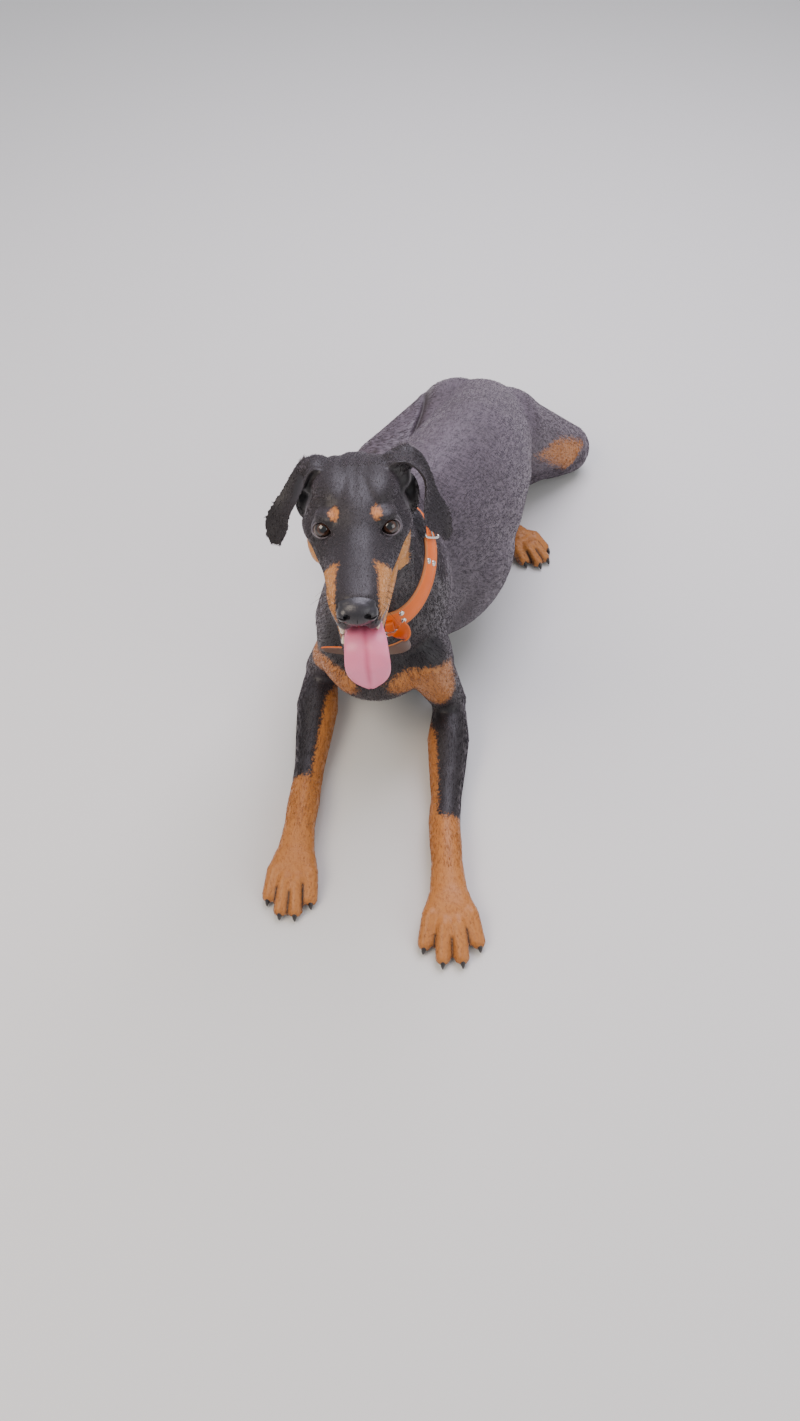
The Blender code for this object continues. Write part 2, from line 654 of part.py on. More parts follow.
def mouth_cutters():
    """The gape between the lips, the roof of the mouth and the trough of the lower jaw."""
    gape = loft("Gape", [
        section((0.0, -0.130, -0.0560), 0.060, 0.0135, 0.0140, square=0.5),
        section((0.0, -0.100, -0.0560), 0.060, 0.0125, 0.0125, square=0.5),
        section((0.0, -0.050, -0.0545), 0.060, 0.0065, 0.0085, square=0.5),
        section((0.0, JAW_CORNER.y, JAW_CORNER.z - 0.004), 0.060, 0.0015, 0.0020, square=0.5),
    ])
    roof = mass("Roof", (0.0, -0.048, -0.046), (0.0180, 0.0540, 0.0110))
    trough = mass("Trough", (0.0, -0.044, -0.0600), (0.0165, 0.0440, 0.0110), (0.0, 1.0, 0.11))
    return [gape, roof, trough]


def tooth(x, y, z, height, size):
    """One cone tooth, its point at the given height from its root."""
    return bone("Tooth", (x, y, z), (x * 1.03, y - 0.002, z + height), size, size * 0.35)


def eye_places():
    """The centre of each eyeball, in the head's frame."""
    sides = {"left": 1.0, "right": -1.0}
    return {side: Vector((out * EYE_SPACING / 2.0, EYE_DEPTH, 0.0)) for side, out in sides.items()}


def ball(name, place, radius, rings=12):
    """A plain sphere."""
    bm = bmesh.new()
    bmesh.ops.create_uvsphere(bm, u_segments=rings * 2 - 4, v_segments=rings, radius=radius)
    bmesh.ops.translate(bm, vec=place, verts=bm.verts)
    return add_object(name, bm)


def lid_opening(place, out):
    """The almond that opens the lids in front of one eyeball."""
    look = Vector((out * 0.28, -1.0, 0.26)).normalized()
    tilt = Vector((-out * 0.16, 0.0, 1.0))
    start = section(place + look * 0.003, 0.0070, 0.0060, 0.0054)
    end = section(place + look * 0.030, 0.0145, 0.0130, 0.0115)
    return loft("Opening", [start, end], tilt, 16)


def ear_sections(side):
    """Outlines down one hanging ear, a cupped leaf of skin; the dog's right one stands out further."""
    if side == "left":
        rows = ((0.0340, 0.068, 0.0340, 0.0170, 0.0060, (0.15, 1.0, 0.05)),
                (0.0470, 0.074, 0.0410, 0.0200, 0.0042, (0.15, 1.0, 0.05)),
                (0.0600, 0.075, 0.0310, 0.0210, 0.0026, (0.15, 1.0, 0.05)),
                (0.0680, 0.071, 0.0140, 0.0210, 0.0021, (0.22, 1.0, 0.05)),
                (0.0745, 0.064, -0.0030, 0.0200, 0.0020, (0.46, 0.88, 0.0)),
                (0.0815, 0.056, -0.0190, 0.0180, 0.0019, (0.64, 0.76, 0.0)),
                (0.0875, 0.049, -0.0325, 0.0120, 0.0018, (0.70, 0.70, 0.0)),
                (0.0900, 0.044, -0.0410, 0.0045, 0.0016, (0.70, 0.70, 0.0)))
    else:
        rows = ((-0.0340, 0.066, 0.0340, 0.0170, 0.0060, (0.30, -0.95, 0.0)),
                (-0.0460, 0.069, 0.0385, 0.0190, 0.0042, (0.40, -0.90, 0.0)),
                (-0.0565, 0.067, 0.0285, 0.0195, 0.0026, (0.55, -0.83, 0.0)),
                (-0.0640, 0.062, 0.0130, 0.0190, 0.0021, (0.68, -0.72, 0.0)),
                (-0.0735, 0.057, -0.0020, 0.0185, 0.0020, (0.72, -0.68, 0.0)),
                (-0.0800, 0.052, -0.0160, 0.0175, 0.0019, (0.74, -0.66, 0.0)),
                (-0.0825, 0.047, -0.0300, 0.0110, 0.0018, (0.74, -0.66, 0.0)),
                (-0.0825, 0.044, -0.0390, 0.0040, 0.0016, (0.74, -0.66, 0.0)))
    return [section(row[:3], row[3], row[4], cup=-0.005, across=row[5]) for row in rows]


def build_ear(side, skull):
    """One hanging ear, cut at its root to lie on the skull."""
    leaf = loft(f"ear_{side}", ear_sections(side), sides=12)
    boolean(leaf, [grown(skull, GAP)], "DIFFERENCE")
    return leaf


def grown(obj, margin):
    """A helper copy of an object, swollen by a margin along its normals."""
    copy = bpy.data.objects.new("Grown", obj.data.copy())
    bpy.context.scene.collection.objects.link(copy)
    swell = copy.modifiers.new("Swell", "DISPLACE")
    swell.mid_level = 0.0
    swell.strength = margin
    apply_modifiers(copy)
    return copy


def build_head():
    """Head with its open mouth, lids and teeth, both ears, both eyes, the nose and the tongue."""
    frame = head_frame()
    nape = loft("Nape", neck_axis(), sides=24, across=(-1.0, 0.0, 0.0))
    nape.data.transform(frame.inverted())
    skull = fuse("head", head_masses() + [nape], 0.0023, 5)
    turn = frame.inverted().to_3x3()
    trim(skull, frame.inverted() @ (NECK_TOP + NECK_AXIS * GAP * 0.5), turn @ -NECK_AXIS)
    trim(skull, (0.0, NOSE_PLANE + GAP, 0.0), (0.0, -1.0, 0.0))
    boolean(skull, mouth_cutters(), "DIFFERENCE")
    thin_to(skull, HEAD_TRIANGLES)
    trim(skull, frame.inverted() @ (NECK_TOP + NECK_AXIS * GAP * 0.5), turn @ -NECK_AXIS)
    trim(skull, (0.0, NOSE_PLANE + GAP, 0.0), (0.0, -1.0, 0.0))
    openings = []
    eyes = {}
    for side, place in eye_places().items():
        out = 1.0 if side == "left" else -1.0
        openings += [ball("Socket", place, EYE_RADIUS + GAP, 10), lid_opening(place, out)]
        eyes[side] = ball(f"eye_{side}", place, EYE_RADIUS, 10)
    boolean(skull, openings, "DIFFERENCE")
    teeth = [tooth(out * 0.0150, -0.088, -0.0670, 0.0120, 0.0026) for out in (1.0, -1.0)]
    teeth += [tooth(out * 0.0175, -0.092, -0.0460, -0.0130, 0.0028) for out in (1.0, -1.0)]
    boolean(skull, teeth, "UNION")
    ears = [build_ear(side, skull) for side in ("left", "right")]
    tongue = build_tongue()
    boolean(tongue, [grown(skull, GAP)], "DIFFERENCE")
    made = [skull, build_nose(), tongue] + list(eyes.values()) + ears
    for obj in made:
        obj.data.transform(frame)
    return {obj.name: obj for obj in made}


def build_nose():
    """The nose pad, with a nostril cut into each side."""
    pieces = [
        mass("Pad", (0.0, -0.108, -0.0190), (0.0185, 0.0120, 0.0140)),
        mass("Top", (0.0, -0.104, -0.0130), (0.0180, 0.0120, 0.0090)),
    ]
    pad = fuse("nose_pad", pieces, 0.0016, 3)
    trim(pad, (0.0, NOSE_PLANE, 0.0), (0.0, 1.0, 0.0))
    thin_to(pad, NOSE_TRIANGLES)
    holes = []
    for out in (1.0, -1.0):
        holes.append(mass("Nostril", (out * 0.0088, -0.1205, -0.0170), (0.0034, 0.0062, 0.0030),
                          (out * 0.4, 1.0, 0.0), rounds=10))
        holes.append(mass("Slit", (out * 0.0140, -0.1165, -0.0200), (0.0046, 0.0045, 0.0012),
                          (out * 0.2, 1.0, 0.0), rounds=8))
    boolean(pad, holes, "DIFFERENCE")
    return pad


def build_tongue():
    """The tongue, lying in the lower jaw and hanging over the lip, with a groove down its middle."""
    rows = ((0.0, 0.000, -0.0545, 0.0100, 0.0030), (0.0005, -0.020, -0.0575, 0.0130, 0.0034),
            (0.0020, -0.050, -0.0600, 0.0150, 0.0034), (0.0040, -0.080, -0.0615, 0.0175, 0.0032),
            (0.0055, -0.100, -0.0640, 0.0190, 0.0030), (0.0060, -0.1105, -0.0760, 0.0200, 0.0028),
            (0.0065, -0.1110, -0.0920, 0.0215, 0.0027), (0.0070, -0.1065, -0.1060, 0.0212, 0.0026),
            (0.0075, -0.1025, -0.1170, 0.0180, 0.0024), (0.0078, -0.1000, -0.1235, 0.0095, 0.0018))
    sections = [section(row[:3], row[3], row[4], square=0.85, cup=-0.002) for row in rows]
    return loft("tongue", sections, sides=16, across=(-1.0, 0.0, 0.0))


def collar_point(angle, share=0.5, lift=0.0):
    """A point on the collar's inner face.

    The angle is in degrees from the throat toward the dog's left, the share runs from the lower
    to the upper edge, and lift is how far the point stands off.
    """
    turn = math.radians(angle)
    end = 1 if math.cos(turn) > 0.0 else 2
    wide = along(COLLAR_BOTTOM[0], COLLAR_TOP[0], share) + lift
    deep = along(COLLAR_BOTTOM[end], COLLAR_TOP[end], share) + lift
    throat = Vector((0.0, -NECK_AXIS.z, NECK_AXIS.y)).normalized()
    beside = NECK_AXIS.cross(throat).normalized()
    level = NECK_AXIS * (share - 1.0) * COLLAR_DROP
    return COLLAR_PLACE + level + beside * wide * math.sin(turn) + throat * deep * math.cos(turn)


def collar_frame(angle, share, lift):
    """The matrix of a flat patch on the collar: X runs round it, Y up the neck and Z outward."""
    place = collar_point(angle, share, lift)
    ahead, behind = collar_point(angle + 2.0, share, lift), collar_point(angle - 2.0, share, lift)
    round_it = (ahead - behind).normalized()
    up = (collar_point(angle, 1.0, lift) - collar_point(angle, 0.0, lift)).normalized()
    outward = round_it.cross(up).normalized()
    turned = Matrix((round_it, outward.cross(round_it), outward)).transposed().to_4x4()
    turned.translation = place
    return turned


def block(name, size, frame):
    """A plain box of full sizes, centred in a frame."""
    bm = bmesh.new()
    bmesh.ops.create_cube(bm, size=1.0)
    bmesh.ops.scale(bm, vec=size, verts=bm.verts)
    bmesh.ops.transform(bm, matrix=frame, verts=bm.verts)
    return add_object(name, bm)


def build_band():
    """The leather band, flared with the neck that it lies on."""
    bm = bmesh.new()
    profile = bmesh.ops.create_grid(bm, x_segments=1, y_segments=1, size=0.5)["verts"]
    for vert in profile:
        vert.co = Vector((1.0 + (vert.co.x + 0.5) * COLLAR_THICK, 0.0, vert.co.y + 0.5))
    bmesh.ops.delete(bm, geom=bm.faces[:], context="FACES_ONLY")
    bmesh.ops.spin(bm, geom=bm.verts[:] + bm.edges[:], axis=(0.0, 0.0, 1.0), steps=44, angle=math.tau,
                   use_merge=True)
    for vert in bm.verts:
        angle = math.degrees(math.atan2(vert.co.y, vert.co.x))
        lift = math.hypot(vert.co.x, vert.co.y) - 1.0
        vert.co = collar_point(angle, vert.co.z, lift)
    bmesh.ops.recalc_face_normals(bm, faces=bm.faces)
    return add_object("collar_band", bm)


def ring(name, radius, tube, squash, frame):
    """A round wire ring whose upper half is flattened toward a D."""
    bm = bmesh.new()
    profile = bmesh.ops.create_circle(bm, segments=6, radius=tube)["verts"]
    bmesh.ops.translate(bm, vec=(radius, 0.0, 0.0), verts=profile)
    bmesh.ops.spin(bm, geom=bm.verts[:] + bm.edges[:], axis=(0.0, 1.0, 0.0), steps=20, angle=math.tau,
                   use_merge=True)
    for vert in bm.verts:
        vert.co = Vector((vert.co.x, vert.co.z if vert.co.z < 0.0 else vert.co.z * squash, vert.co.y))
    bmesh.ops.transform(bm, matrix=frame, verts=bm.verts)
    bmesh.ops.recalc_face_normals(bm, faces=bm.faces)
    return add_object(name, bm)


def build_buckle():
    """The buckle's frame and its prong, lying on the band."""
    seat = collar_frame(BUCKLE_ANGLE, 0.5, COLLAR_THICK + GAP + 0.0013)
    frame = block("buckle", (0.021, 0.033, 0.0026), seat)
    boolean(frame, [block("Window", (0.014, 0.0265, 0.01), seat)], "DIFFERENCE")
    prong = block("Prong", (0.0175, 0.0030, 0.0018), seat @ Matrix.Translation((0.0, 0.0, 0.0002)))
    boolean(frame, [prong], "UNION")
    return frame


def build_collar():
    """The collar: band, buckle, ring with its loop, four rivets and the strap's free end."""
    throat = Vector((0.0, -NECK_AXIS.z, NECK_AXIS.y)).normalized()
    hang = collar_frame(RING_ANGLE, 0.16, COLLAR_THICK + GAP + 0.0034)
    lean = Matrix.Rotation(math.radians(14.0), 4, "X")
    made = [build_band(), build_buckle()]
    wire = ring("d_ring", 0.0115, 0.0016, 0.35, hang @ lean @ Matrix.Translation((0.0, -0.0060, 0.0)))
    loop = block("ring_loop", (0.0110, 0.0230, 0.0062), hang @ Matrix.Translation((0.0, 0.0075, 0.0)))
    boolean(loop, [grown(wire, GAP), grown(made[0], GAP)], "DIFFERENCE")
    made += [wire, loop]
    for number, (angle, share) in enumerate(RIVET_PLACES):
        bm = bmesh.new()
        bmesh.ops.create_cone(bm, cap_ends=True, segments=12, radius1=0.0036, radius2=0.0026, depth=0.0014)
        seat = collar_frame(angle, share, COLLAR_THICK + GAP + 0.0007)
        bmesh.ops.transform(bm, matrix=seat, verts=bm.verts)
        made.append(add_object(f"rivet_{number + 1}", bm))
    sections = [section(STRAP_START + throat * out + NECK_AXIS * up + Vector((across, 0.0, 0.0)),
                        COLLAR_WIDTH / 2.0, 0.0016, square=0.2) for across, out, up in STRAP_PATH]
    strap = loft("strap_end", sections, sides=16, across=NECK_AXIS)
    others = [grown(obj, GAP) for obj in made if obj.name in ("collar_band", "d_ring", "ring_loop")]
    boolean(strap, others, "DIFFERENCE")
    made.append(strap)
    return {obj.name: obj for obj in made}


def finish(obj, surface):
    """Give an object a material of its own."""
    colour, roughness, metallic = surface
    made = bpy.data.materials.new(f"{obj.name}_surface")
    made.use_nodes = True
    shader = made.node_tree.nodes["Principled BSDF"]
    shader.inputs["Base Color"].default_value = (*colour, 1.0)
    shader.inputs["Roughness"].default_value = roughness
    shader.inputs["Metallic"].default_value = metallic
    obj.data.materials.clear()
    obj.data.materials.append(made)


def surface_of(name):
    """The surface that a node is made of."""
    kinds = (("eye", EYE), ("nose", NOSE), ("tongue", TONGUE), ("collar", LEATHER), ("strap", LEATHER),
             ("ring_loop", LEATHER), ("buckle", STEEL), ("d_ring", STEEL), ("rivet", STEEL),
             ("forearm", RUST), ("forepaw", RUST), ("hindfoot", RUST))
    for start, surface in kinds:
        if name.startswith(start):
            return surface
    return COAT


def centre(objects):
    """Move every object so that the dog's bounding box stands centred on the origin."""
    corners = [vert.co for obj in objects for vert in obj.data.vertices]
    low = Vector([min(corner[axis] for corner in corners) for axis in range(3)])
    high = Vector([max(corner[axis] for corner in corners) for axis in range(3)])
    middle = (low + high) / 2.0
    middle.z = low.z
    for obj in objects:
        obj.data.transform(Matrix.Translation(-middle))


def main():
    """Build the whole dog."""
    for obj in list(bpy.data.objects):
        bpy.data.objects.remove(obj)
    nodes = build_trunk()
    for leg in FORELEGS:
        nodes.update(build_forepaw(leg))
    for leg in HINDLEGS:
        nodes.update(build_hindfoot(leg))
    nodes.update(build_head())
    nodes.update(build_collar())
    boolean(nodes["neck"], [grown(nodes["collar_band"], GAP)], "DIFFERENCE")
    for leg in HINDLEGS:
        foot = nodes[f"hindfoot_{leg.side}"]
        boolean(nodes["hindquarters"], [grown(foot, GAP)], "DIFFERENCE")
    for name, obj in nodes.items():
        finish(obj, surface_of(name))
    centre(list(nodes.values()))


main()
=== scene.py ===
"""The looks of a still, life-size young doberman pinscher that lies on its chest and looks up, in metres.

The dog faces -Y, its left side is +X and the floor is z = 0. Its flesh is one skin, fused from lofted
and rounded bodies, and its black and rust markings are signed distances that skin and coat both carry.
"""
import logging
import math
from dataclasses import dataclass
from enum import Enum

import bmesh
import bpy
import numpy as np
from mathutils import Matrix, Vector


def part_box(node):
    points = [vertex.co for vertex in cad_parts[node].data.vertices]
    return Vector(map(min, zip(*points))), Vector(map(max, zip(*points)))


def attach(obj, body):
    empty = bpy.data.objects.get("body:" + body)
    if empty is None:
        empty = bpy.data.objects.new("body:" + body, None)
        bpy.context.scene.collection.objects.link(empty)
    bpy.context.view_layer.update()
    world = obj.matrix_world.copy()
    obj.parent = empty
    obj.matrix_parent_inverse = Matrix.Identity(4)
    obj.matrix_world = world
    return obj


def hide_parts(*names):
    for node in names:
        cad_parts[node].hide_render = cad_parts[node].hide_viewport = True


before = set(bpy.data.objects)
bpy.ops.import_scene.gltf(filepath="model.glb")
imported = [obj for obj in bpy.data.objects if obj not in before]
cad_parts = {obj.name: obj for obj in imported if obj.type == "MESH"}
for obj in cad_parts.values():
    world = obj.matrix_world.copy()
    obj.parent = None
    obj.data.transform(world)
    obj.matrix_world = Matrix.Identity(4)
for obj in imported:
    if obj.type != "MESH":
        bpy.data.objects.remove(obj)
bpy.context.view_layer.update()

LOG = logging.getLogger("doberman")
SEED = 7
UP = Vector((0.0, 0.0, 1.0))

# The head's own frame: its origin is midway between the eyes, -Y is the muzzle and +X is left.
HEAD_PLACE = Vector((-0.112, -0.205, 0.446))
HEAD_PITCH = math.radians(12.5)
HEAD_YAW = math.radians(1.5)
HEAD_ROLL = math.radians(-1.8)
EYE_SPACING = 0.063
EYE_RADIUS = 0.0112
EYE_DEPTH = 0.0040
JAW_CORNER = Vector((0.0, -0.012, -0.047))

NECK_AXIS = Vector((-0.02, -0.583, 0.812)).normalized()
NECK_TOP = Vector((-0.111, -0.130, 0.385))
TRUNK_AXIS = Vector((0.37, 0.93, 0.0)).normalized()
WITHERS = Vector((-0.073, 0.004, 0.268))
TAIL_ROOT = Vector((0.052, 0.396, 0.176))
TAIL_TIP = Vector((0.064, 0.478, 0.124))

# The collar lies on the widening base of the neck: half width, throat depth and nape depth.
COLLAR_PLACE = Vector((-0.091, -0.119, 0.336))
COLLAR_WIDTH = 0.025
COLLAR_DROP = 0.0200
COLLAR_THICK = 0.0032
COLLAR_TOP = (0.0470, 0.0680, 0.0570)
COLLAR_BOTTOM = (0.0590, 0.0845, 0.0660)

# The camera stands this far from the point midway between the eyes.
CAMERA_STAND = Vector((0.042, -0.775, 0.704))
CAMERA_PITCH = math.radians(38.0)
PHOTO_WIDE, PHOTO_TALL = 800.0, 1421.0
FOCAL_PIXELS = 1068.0
SENSOR = 36.0

TUFT_SHARE = 1.0
SKIN_VOXEL = 0.0017
SKIN_TRIANGLES = 185000


class Side(Enum):
    """The dog's own left and right, with their sign along X."""

    LEFT = 1.0
    RIGHT = -1.0

    @property
    def word(self) -> str:
        """The side as CAD node names spell it."""
        return self.name.lower()


@dataclass(frozen=True)
class Section:
    """One outline of a loft: half width, rise and drop from its place, and how it departs from round."""

    place: Vector
    wide: float
    top: float
    bottom: float
    pinch: float = 0.0
    keel: float = 0.0
    square: float = 1.0
    cup: float = 0.0
    across: tuple | None = None


def section(place: tuple, wide: float, top: float, bottom: float | None = None, *rest: float, **more) -> Section:
    """Make an outline whose drop equals its rise where none is given.

    Args:
        place: The outline's centre.
        wide: Half width.
        top: Rise above the centre.
        bottom: Drop below it.
        rest: Pinch, keel, square and cup, in that order.
        more: The same by name, or the side direction across.

    Returns:
        The outline.
    """
    return Section(Vector(place), wide, top, top if bottom is None else bottom, *rest, **more)


def add_object(name: str, bm: bmesh.types.BMesh) -> bpy.types.Object:
    """Turn a finished bmesh into a smooth-shaded object at the origin.

    Args:
        name: The object's name.
        bm: The mesh, which is freed.

    Returns:
        The new object.
    """
    mesh = bpy.data.meshes.new(name)
    bm.to_mesh(mesh)
    bm.free()
    mesh.shade_smooth()
    obj = bpy.data.objects.new(name, mesh)
    bpy.context.scene.collection.objects.link(obj)
    return obj


def power(value: float, exponent: float) -> float:
    """A signed power, which squares off a circle's sine or cosine."""
    return math.copysign(abs(value) ** exponent, value)


def along(low: float, high: float, share: float) -> float:
    """The value at a share of the way from low to high."""
    return low + (high - low) * share


def smooth_rows(rows: tuple, steps: int) -> list[tuple]:
    """Rows of numbers with more rows between them on a smooth curve through all.

    Args:
        rows: Tuples of equal length.
        steps: How many spans replace each one.

    Returns:
        The finer rows, with the first and last kept.
    """
    table = np.array([rows[0], *rows, rows[-1]], float)
    finer = []
    for first in range(len(rows) - 1):
        a, b, c, d = table[first:first + 4]
        for step in range(steps):
            t = step / steps
            finer.append(tuple(0.5 * (2 * b + (c - a) * t + (2 * a - 5 * b + 4 * c - d) * t ** 2
                                      + (3 * b - a - 3 * c + d) * t ** 3)))
    finer.append(tuple(table[-1]))
    return finer


def loft(name: str, sections: list[Section], upright: tuple = (0.0, 0.0, 1.0), sides: int = 24,
         across: tuple | None = None, groove: float = 0.0) -> bpy.types.Object:
    """A closed body through a row of outlines, each square to the row.

    Args:
        name: The object's name.
        sections: The outlines in order.
        upright: The direction that the outlines stand up along.
        sides: Points in each outline.
        across: A side direction for the whole row, used where the row itself turns down.
        groove: Depth of a furrow along the middle of the upper side.

    Returns:
        The body as an object.
    """
    bm = bmesh.new()
    rings = []
    for index, item in enumerate(sections):
        ahead = sections[min(index + 1, len(sections) - 1)].place
        behind = sections[max(index - 1, 0)].place
        course = (ahead - behind).normalized()
        given = item.across or across
        beside = Vector(given) if given else course.cross(Vector(upright))
        beside = (beside - course * beside.dot(course)).normalized()
        turned = Matrix((beside, beside.cross(course), course)).transposed().to_4x4()
        turned.translation = item.place
        ring = bmesh.ops.create_circle(bm, segments=sides, radius=1.0)["verts"]
        for vert in ring:
            side, height = vert.co.x, vert.co.y
            taper = 1.0 - item.pinch * max(height, 0.0) - item.keel * max(-height, 0.0)
            reach = item.top if height > 0.0 else item.bottom
            sunk = groove * math.exp(-(side / 0.14) ** 2) if height > 0.0 else 0.0
            vert.co = turned @ Vector((power(side, item.square) * item.wide * taper,
                                       power(height, item.square) * reach + item.cup * side ** 2 - sunk, 0.0))
        rings.append(list({edge for vert in ring for edge in vert.link_edges}))
    for first, second in zip(rings, rings[1:]):
        bmesh.ops.bridge_loops(bm, edges=first + second)
    bmesh.ops.holes_fill(bm, edges=rings[0] + rings[-1], sides=0)
    bmesh.ops.recalc_face_normals(bm, faces=bm.faces)
    return add_object(name, bm)


def bone(name: str, start: Vector, end: Vector, first: float, last: float, flat: float = 1.0,
         upright: tuple = (0.0, 0.0, 1.0), sides: int = 20) -> bpy.types.Object:
    """A round-ended limb between two joints.

    Args:
        name: The object's name.
        start: The first joint.
        end: The last joint.
        first: Half width at the first joint.
        last: Half width at the last joint.
        flat: Height against width.
        upright: The direction of its height.
        sides: Points round it.

    Returns:
        The limb as an object.
    """
    start, end = Vector(start), Vector(end)
    course = (end - start).normalized()
    sections = []
    for turn in (80.0, 50.0, 22.0):
        size = first * math.cos(math.radians(turn))
        sections.append(section(start - course * first * math.sin(math.radians(turn)), size, size * flat))
    for step in range(5):
        size = along(first, last, step / 4)
        sections.append(section(start.lerp(end, step / 4), size, size * flat))
    for turn in (22.0, 50.0, 80.0):
        size = last * math.cos(math.radians(turn))
        sections.append(section(end + course * last * math.sin(math.radians(turn)), size, size * flat))
    return loft(name, sections, upright, sides)


def mass(name: str, place: tuple, size: tuple, toward: tuple = (0.0, 1.0, 0.0),
         upright: tuple = (0.0, 0.0, 1.0), rounds: int = 28) -> bpy.types.Object:
    """A rounded muscle.

    Args:
        name: The object's name.
        place: Its centre.
        size: Half sizes across, along and up.
        toward: The direction of its length.
        upright: The direction that its top keeps to.
        rounds: Points round it.

    Returns:
        The muscle as an object.
    """
    course = Vector(toward).normalized()
    across = course.cross(Vector(upright)).normalized()
    turned = Matrix((across, course, across.cross(course))).transposed().to_4x4()
    turned.translation = Vector(place)
    bm = bmesh.new()
    bmesh.ops.create_uvsphere(bm, u_segments=rounds, v_segments=rounds * 3 // 5, radius=1.0)
    bmesh.ops.scale(bm, vec=size, verts=bm.verts)
    bmesh.ops.transform(bm, matrix=turned, verts=bm.verts)
    bmesh.ops.recalc_face_normals(bm, faces=bm.faces)
    return add_object(name, bm)


def mirrored(name: str, place: tuple, size: tuple, toward: tuple = (0.0, 1.0, 0.0)) -> list[bpy.types.Object]:
    """The same muscle on the left and right of the head."""
    x, y, z = place
    return [mass(name, (x, y, z), size, toward), mass(name, (-x, y, z), size, (-toward[0], toward[1], toward[2]))]


def apply_modifiers(obj: bpy.types.Object) -> None:
    """Replace an object's mesh by what its modifiers make of it."""
    graph = bpy.context.evaluated_depsgraph_get()
    made = bpy.data.meshes.new_from_object(obj.evaluated_get(graph))
    obj.modifiers.clear()
    obj.data = made


def gather(name: str, pieces: list[bpy.types.Object]) -> bpy.types.Object:
    """One object that holds the meshes of several, which it uses up."""
    bm = bmesh.new()
    for piece in pieces:
        bm.from_mesh(piece.data)
        bpy.data.objects.remove(piece)
    return add_object(name, bm)


def fuse(name: str, pieces: list[bpy.types.Object], voxel: float, passes: int) -> bpy.types.Object:
    """One smooth surface over overlapping pieces.

    Args:
        name: The new object's name.
        pieces: The closed pieces, which are used up.
        voxel: The grid size of the new surface.
        passes: How often it is smoothed.

    Returns:
        The fused object.
    """
    obj = gather(name, pieces)
    remesh = obj.modifiers.new("Fuse", "REMESH")
    remesh.mode = "VOXEL"
    remesh.voxel_size = voxel
    blend = obj.modifiers.new("Blend", "SMOOTH")
    blend.factor = 0.5
    blend.iterations = passes
    apply_modifiers(obj)
    return obj


def keep_largest(obj: bpy.types.Object) -> None:
    """Drop every loose scrap of an object but its largest surface."""
    bm = bmesh.new()
    bm.from_mesh(obj.data)
    left = set(bm.verts)
    islands = []
    while left:
        island = {left.pop()}
        search = list(island)
        while search:
            for edge in search.pop().link_edges:
                for other in edge.verts:
                    if other not in island:
                        island.add(other)
                        left.discard(other)
                        search.append(other)
        islands.append(island)
    islands.sort(key=len)
    for island in islands[:-1]:
        bmesh.ops.delete(bm, geom=list(island), context="VERTS")
    bm.to_mesh(obj.data)
    bm.free()


def carve(obj: bpy.types.Object, cutters: list[bpy.types.Object]) -> None:
    """Cut closed helpers, which are used up, out of an object."""
    held = bpy.data.collections.new("Cutters")
    bpy.context.scene.collection.children.link(held)
    for cutter in cutters:
        for owner in cutter.users_collection:
            owner.objects.unlink(cutter)
        held.objects.link(cutter)
    step = obj.modifiers.new("Carve", "BOOLEAN")
    step.operation = "DIFFERENCE"
    step.operand_type = "COLLECTION"
    step.collection = held
    apply_modifiers(obj)
    for cutter in cutters:
        bpy.data.objects.remove(cutter)
    bpy.data.collections.remove(held)


def points_of(obj: bpy.types.Object) -> np.ndarray:
    """An object's points as rows of X, Y and Z."""
    flat = np.empty(len(obj.data.vertices) * 3, np.float32)
    obj.data.vertices.foreach_get("co", flat)
    return flat.reshape(-1, 3).astype(float)


def move_points(obj: bpy.types.Object, points: np.ndarray) -> None:
    """Put an object's points in new places."""
    obj.data.vertices.foreach_set("co", points.astype(np.float32).ravel())
    obj.data.update()


def store(obj: bpy.types.Object, name: str, values: np.ndarray) -> None:
    """Keep one number for each point of an object under a name that its material reads."""
    layer = obj.data.attributes.new(name, "FLOAT", "POINT")
    layer.data.foreach_set("value", values.astype(np.float32))


def ramp(values: np.ndarray, low: float, high: float) -> np.ndarray:
    """Numbers eased from 0 at low to 1 at high."""
    t = np.clip((values - low) / (high - low), 0.0, 1.0)
    return t * t * (3.0 - 2.0 * t)


def head_frame() -> Matrix:
    """The matrix that takes the head's own frame to the dog's."""
    turn = (Matrix.Rotation(HEAD_YAW, 4, "Z") @ Matrix.Rotation(-HEAD_PITCH, 4, "X")
            @ Matrix.Rotation(HEAD_ROLL, 4, "Y"))
    return Matrix.Translation(HEAD_PLACE) @ turn


def in_head(points: np.ndarray) -> np.ndarray:
    """Points of the dog's frame in the head's own."""
    turn = np.array(head_frame().to_3x3())
    return (points - np.array(HEAD_PLACE)) @ turn


def neck_height(points: np.ndarray) -> np.ndarray:
    """How far points are above the cut between head and neck."""
    return (points - np.array(NECK_TOP)) @ np.array(NECK_AXIS)


def eye_place(side: Side) -> Vector:
    """The centre of one eyeball, in the head's frame."""
    return Vector((side.value * EYE_SPACING / 2.0, EYE_DEPTH, 0.0))


def row_shift() -> Vector:
    """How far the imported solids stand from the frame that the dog's joints are named in."""
    low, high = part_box("eye_left")
    return (low + high) / 2.0 - head_frame() @ eye_place(Side.LEFT)


SHIFT = row_shift()


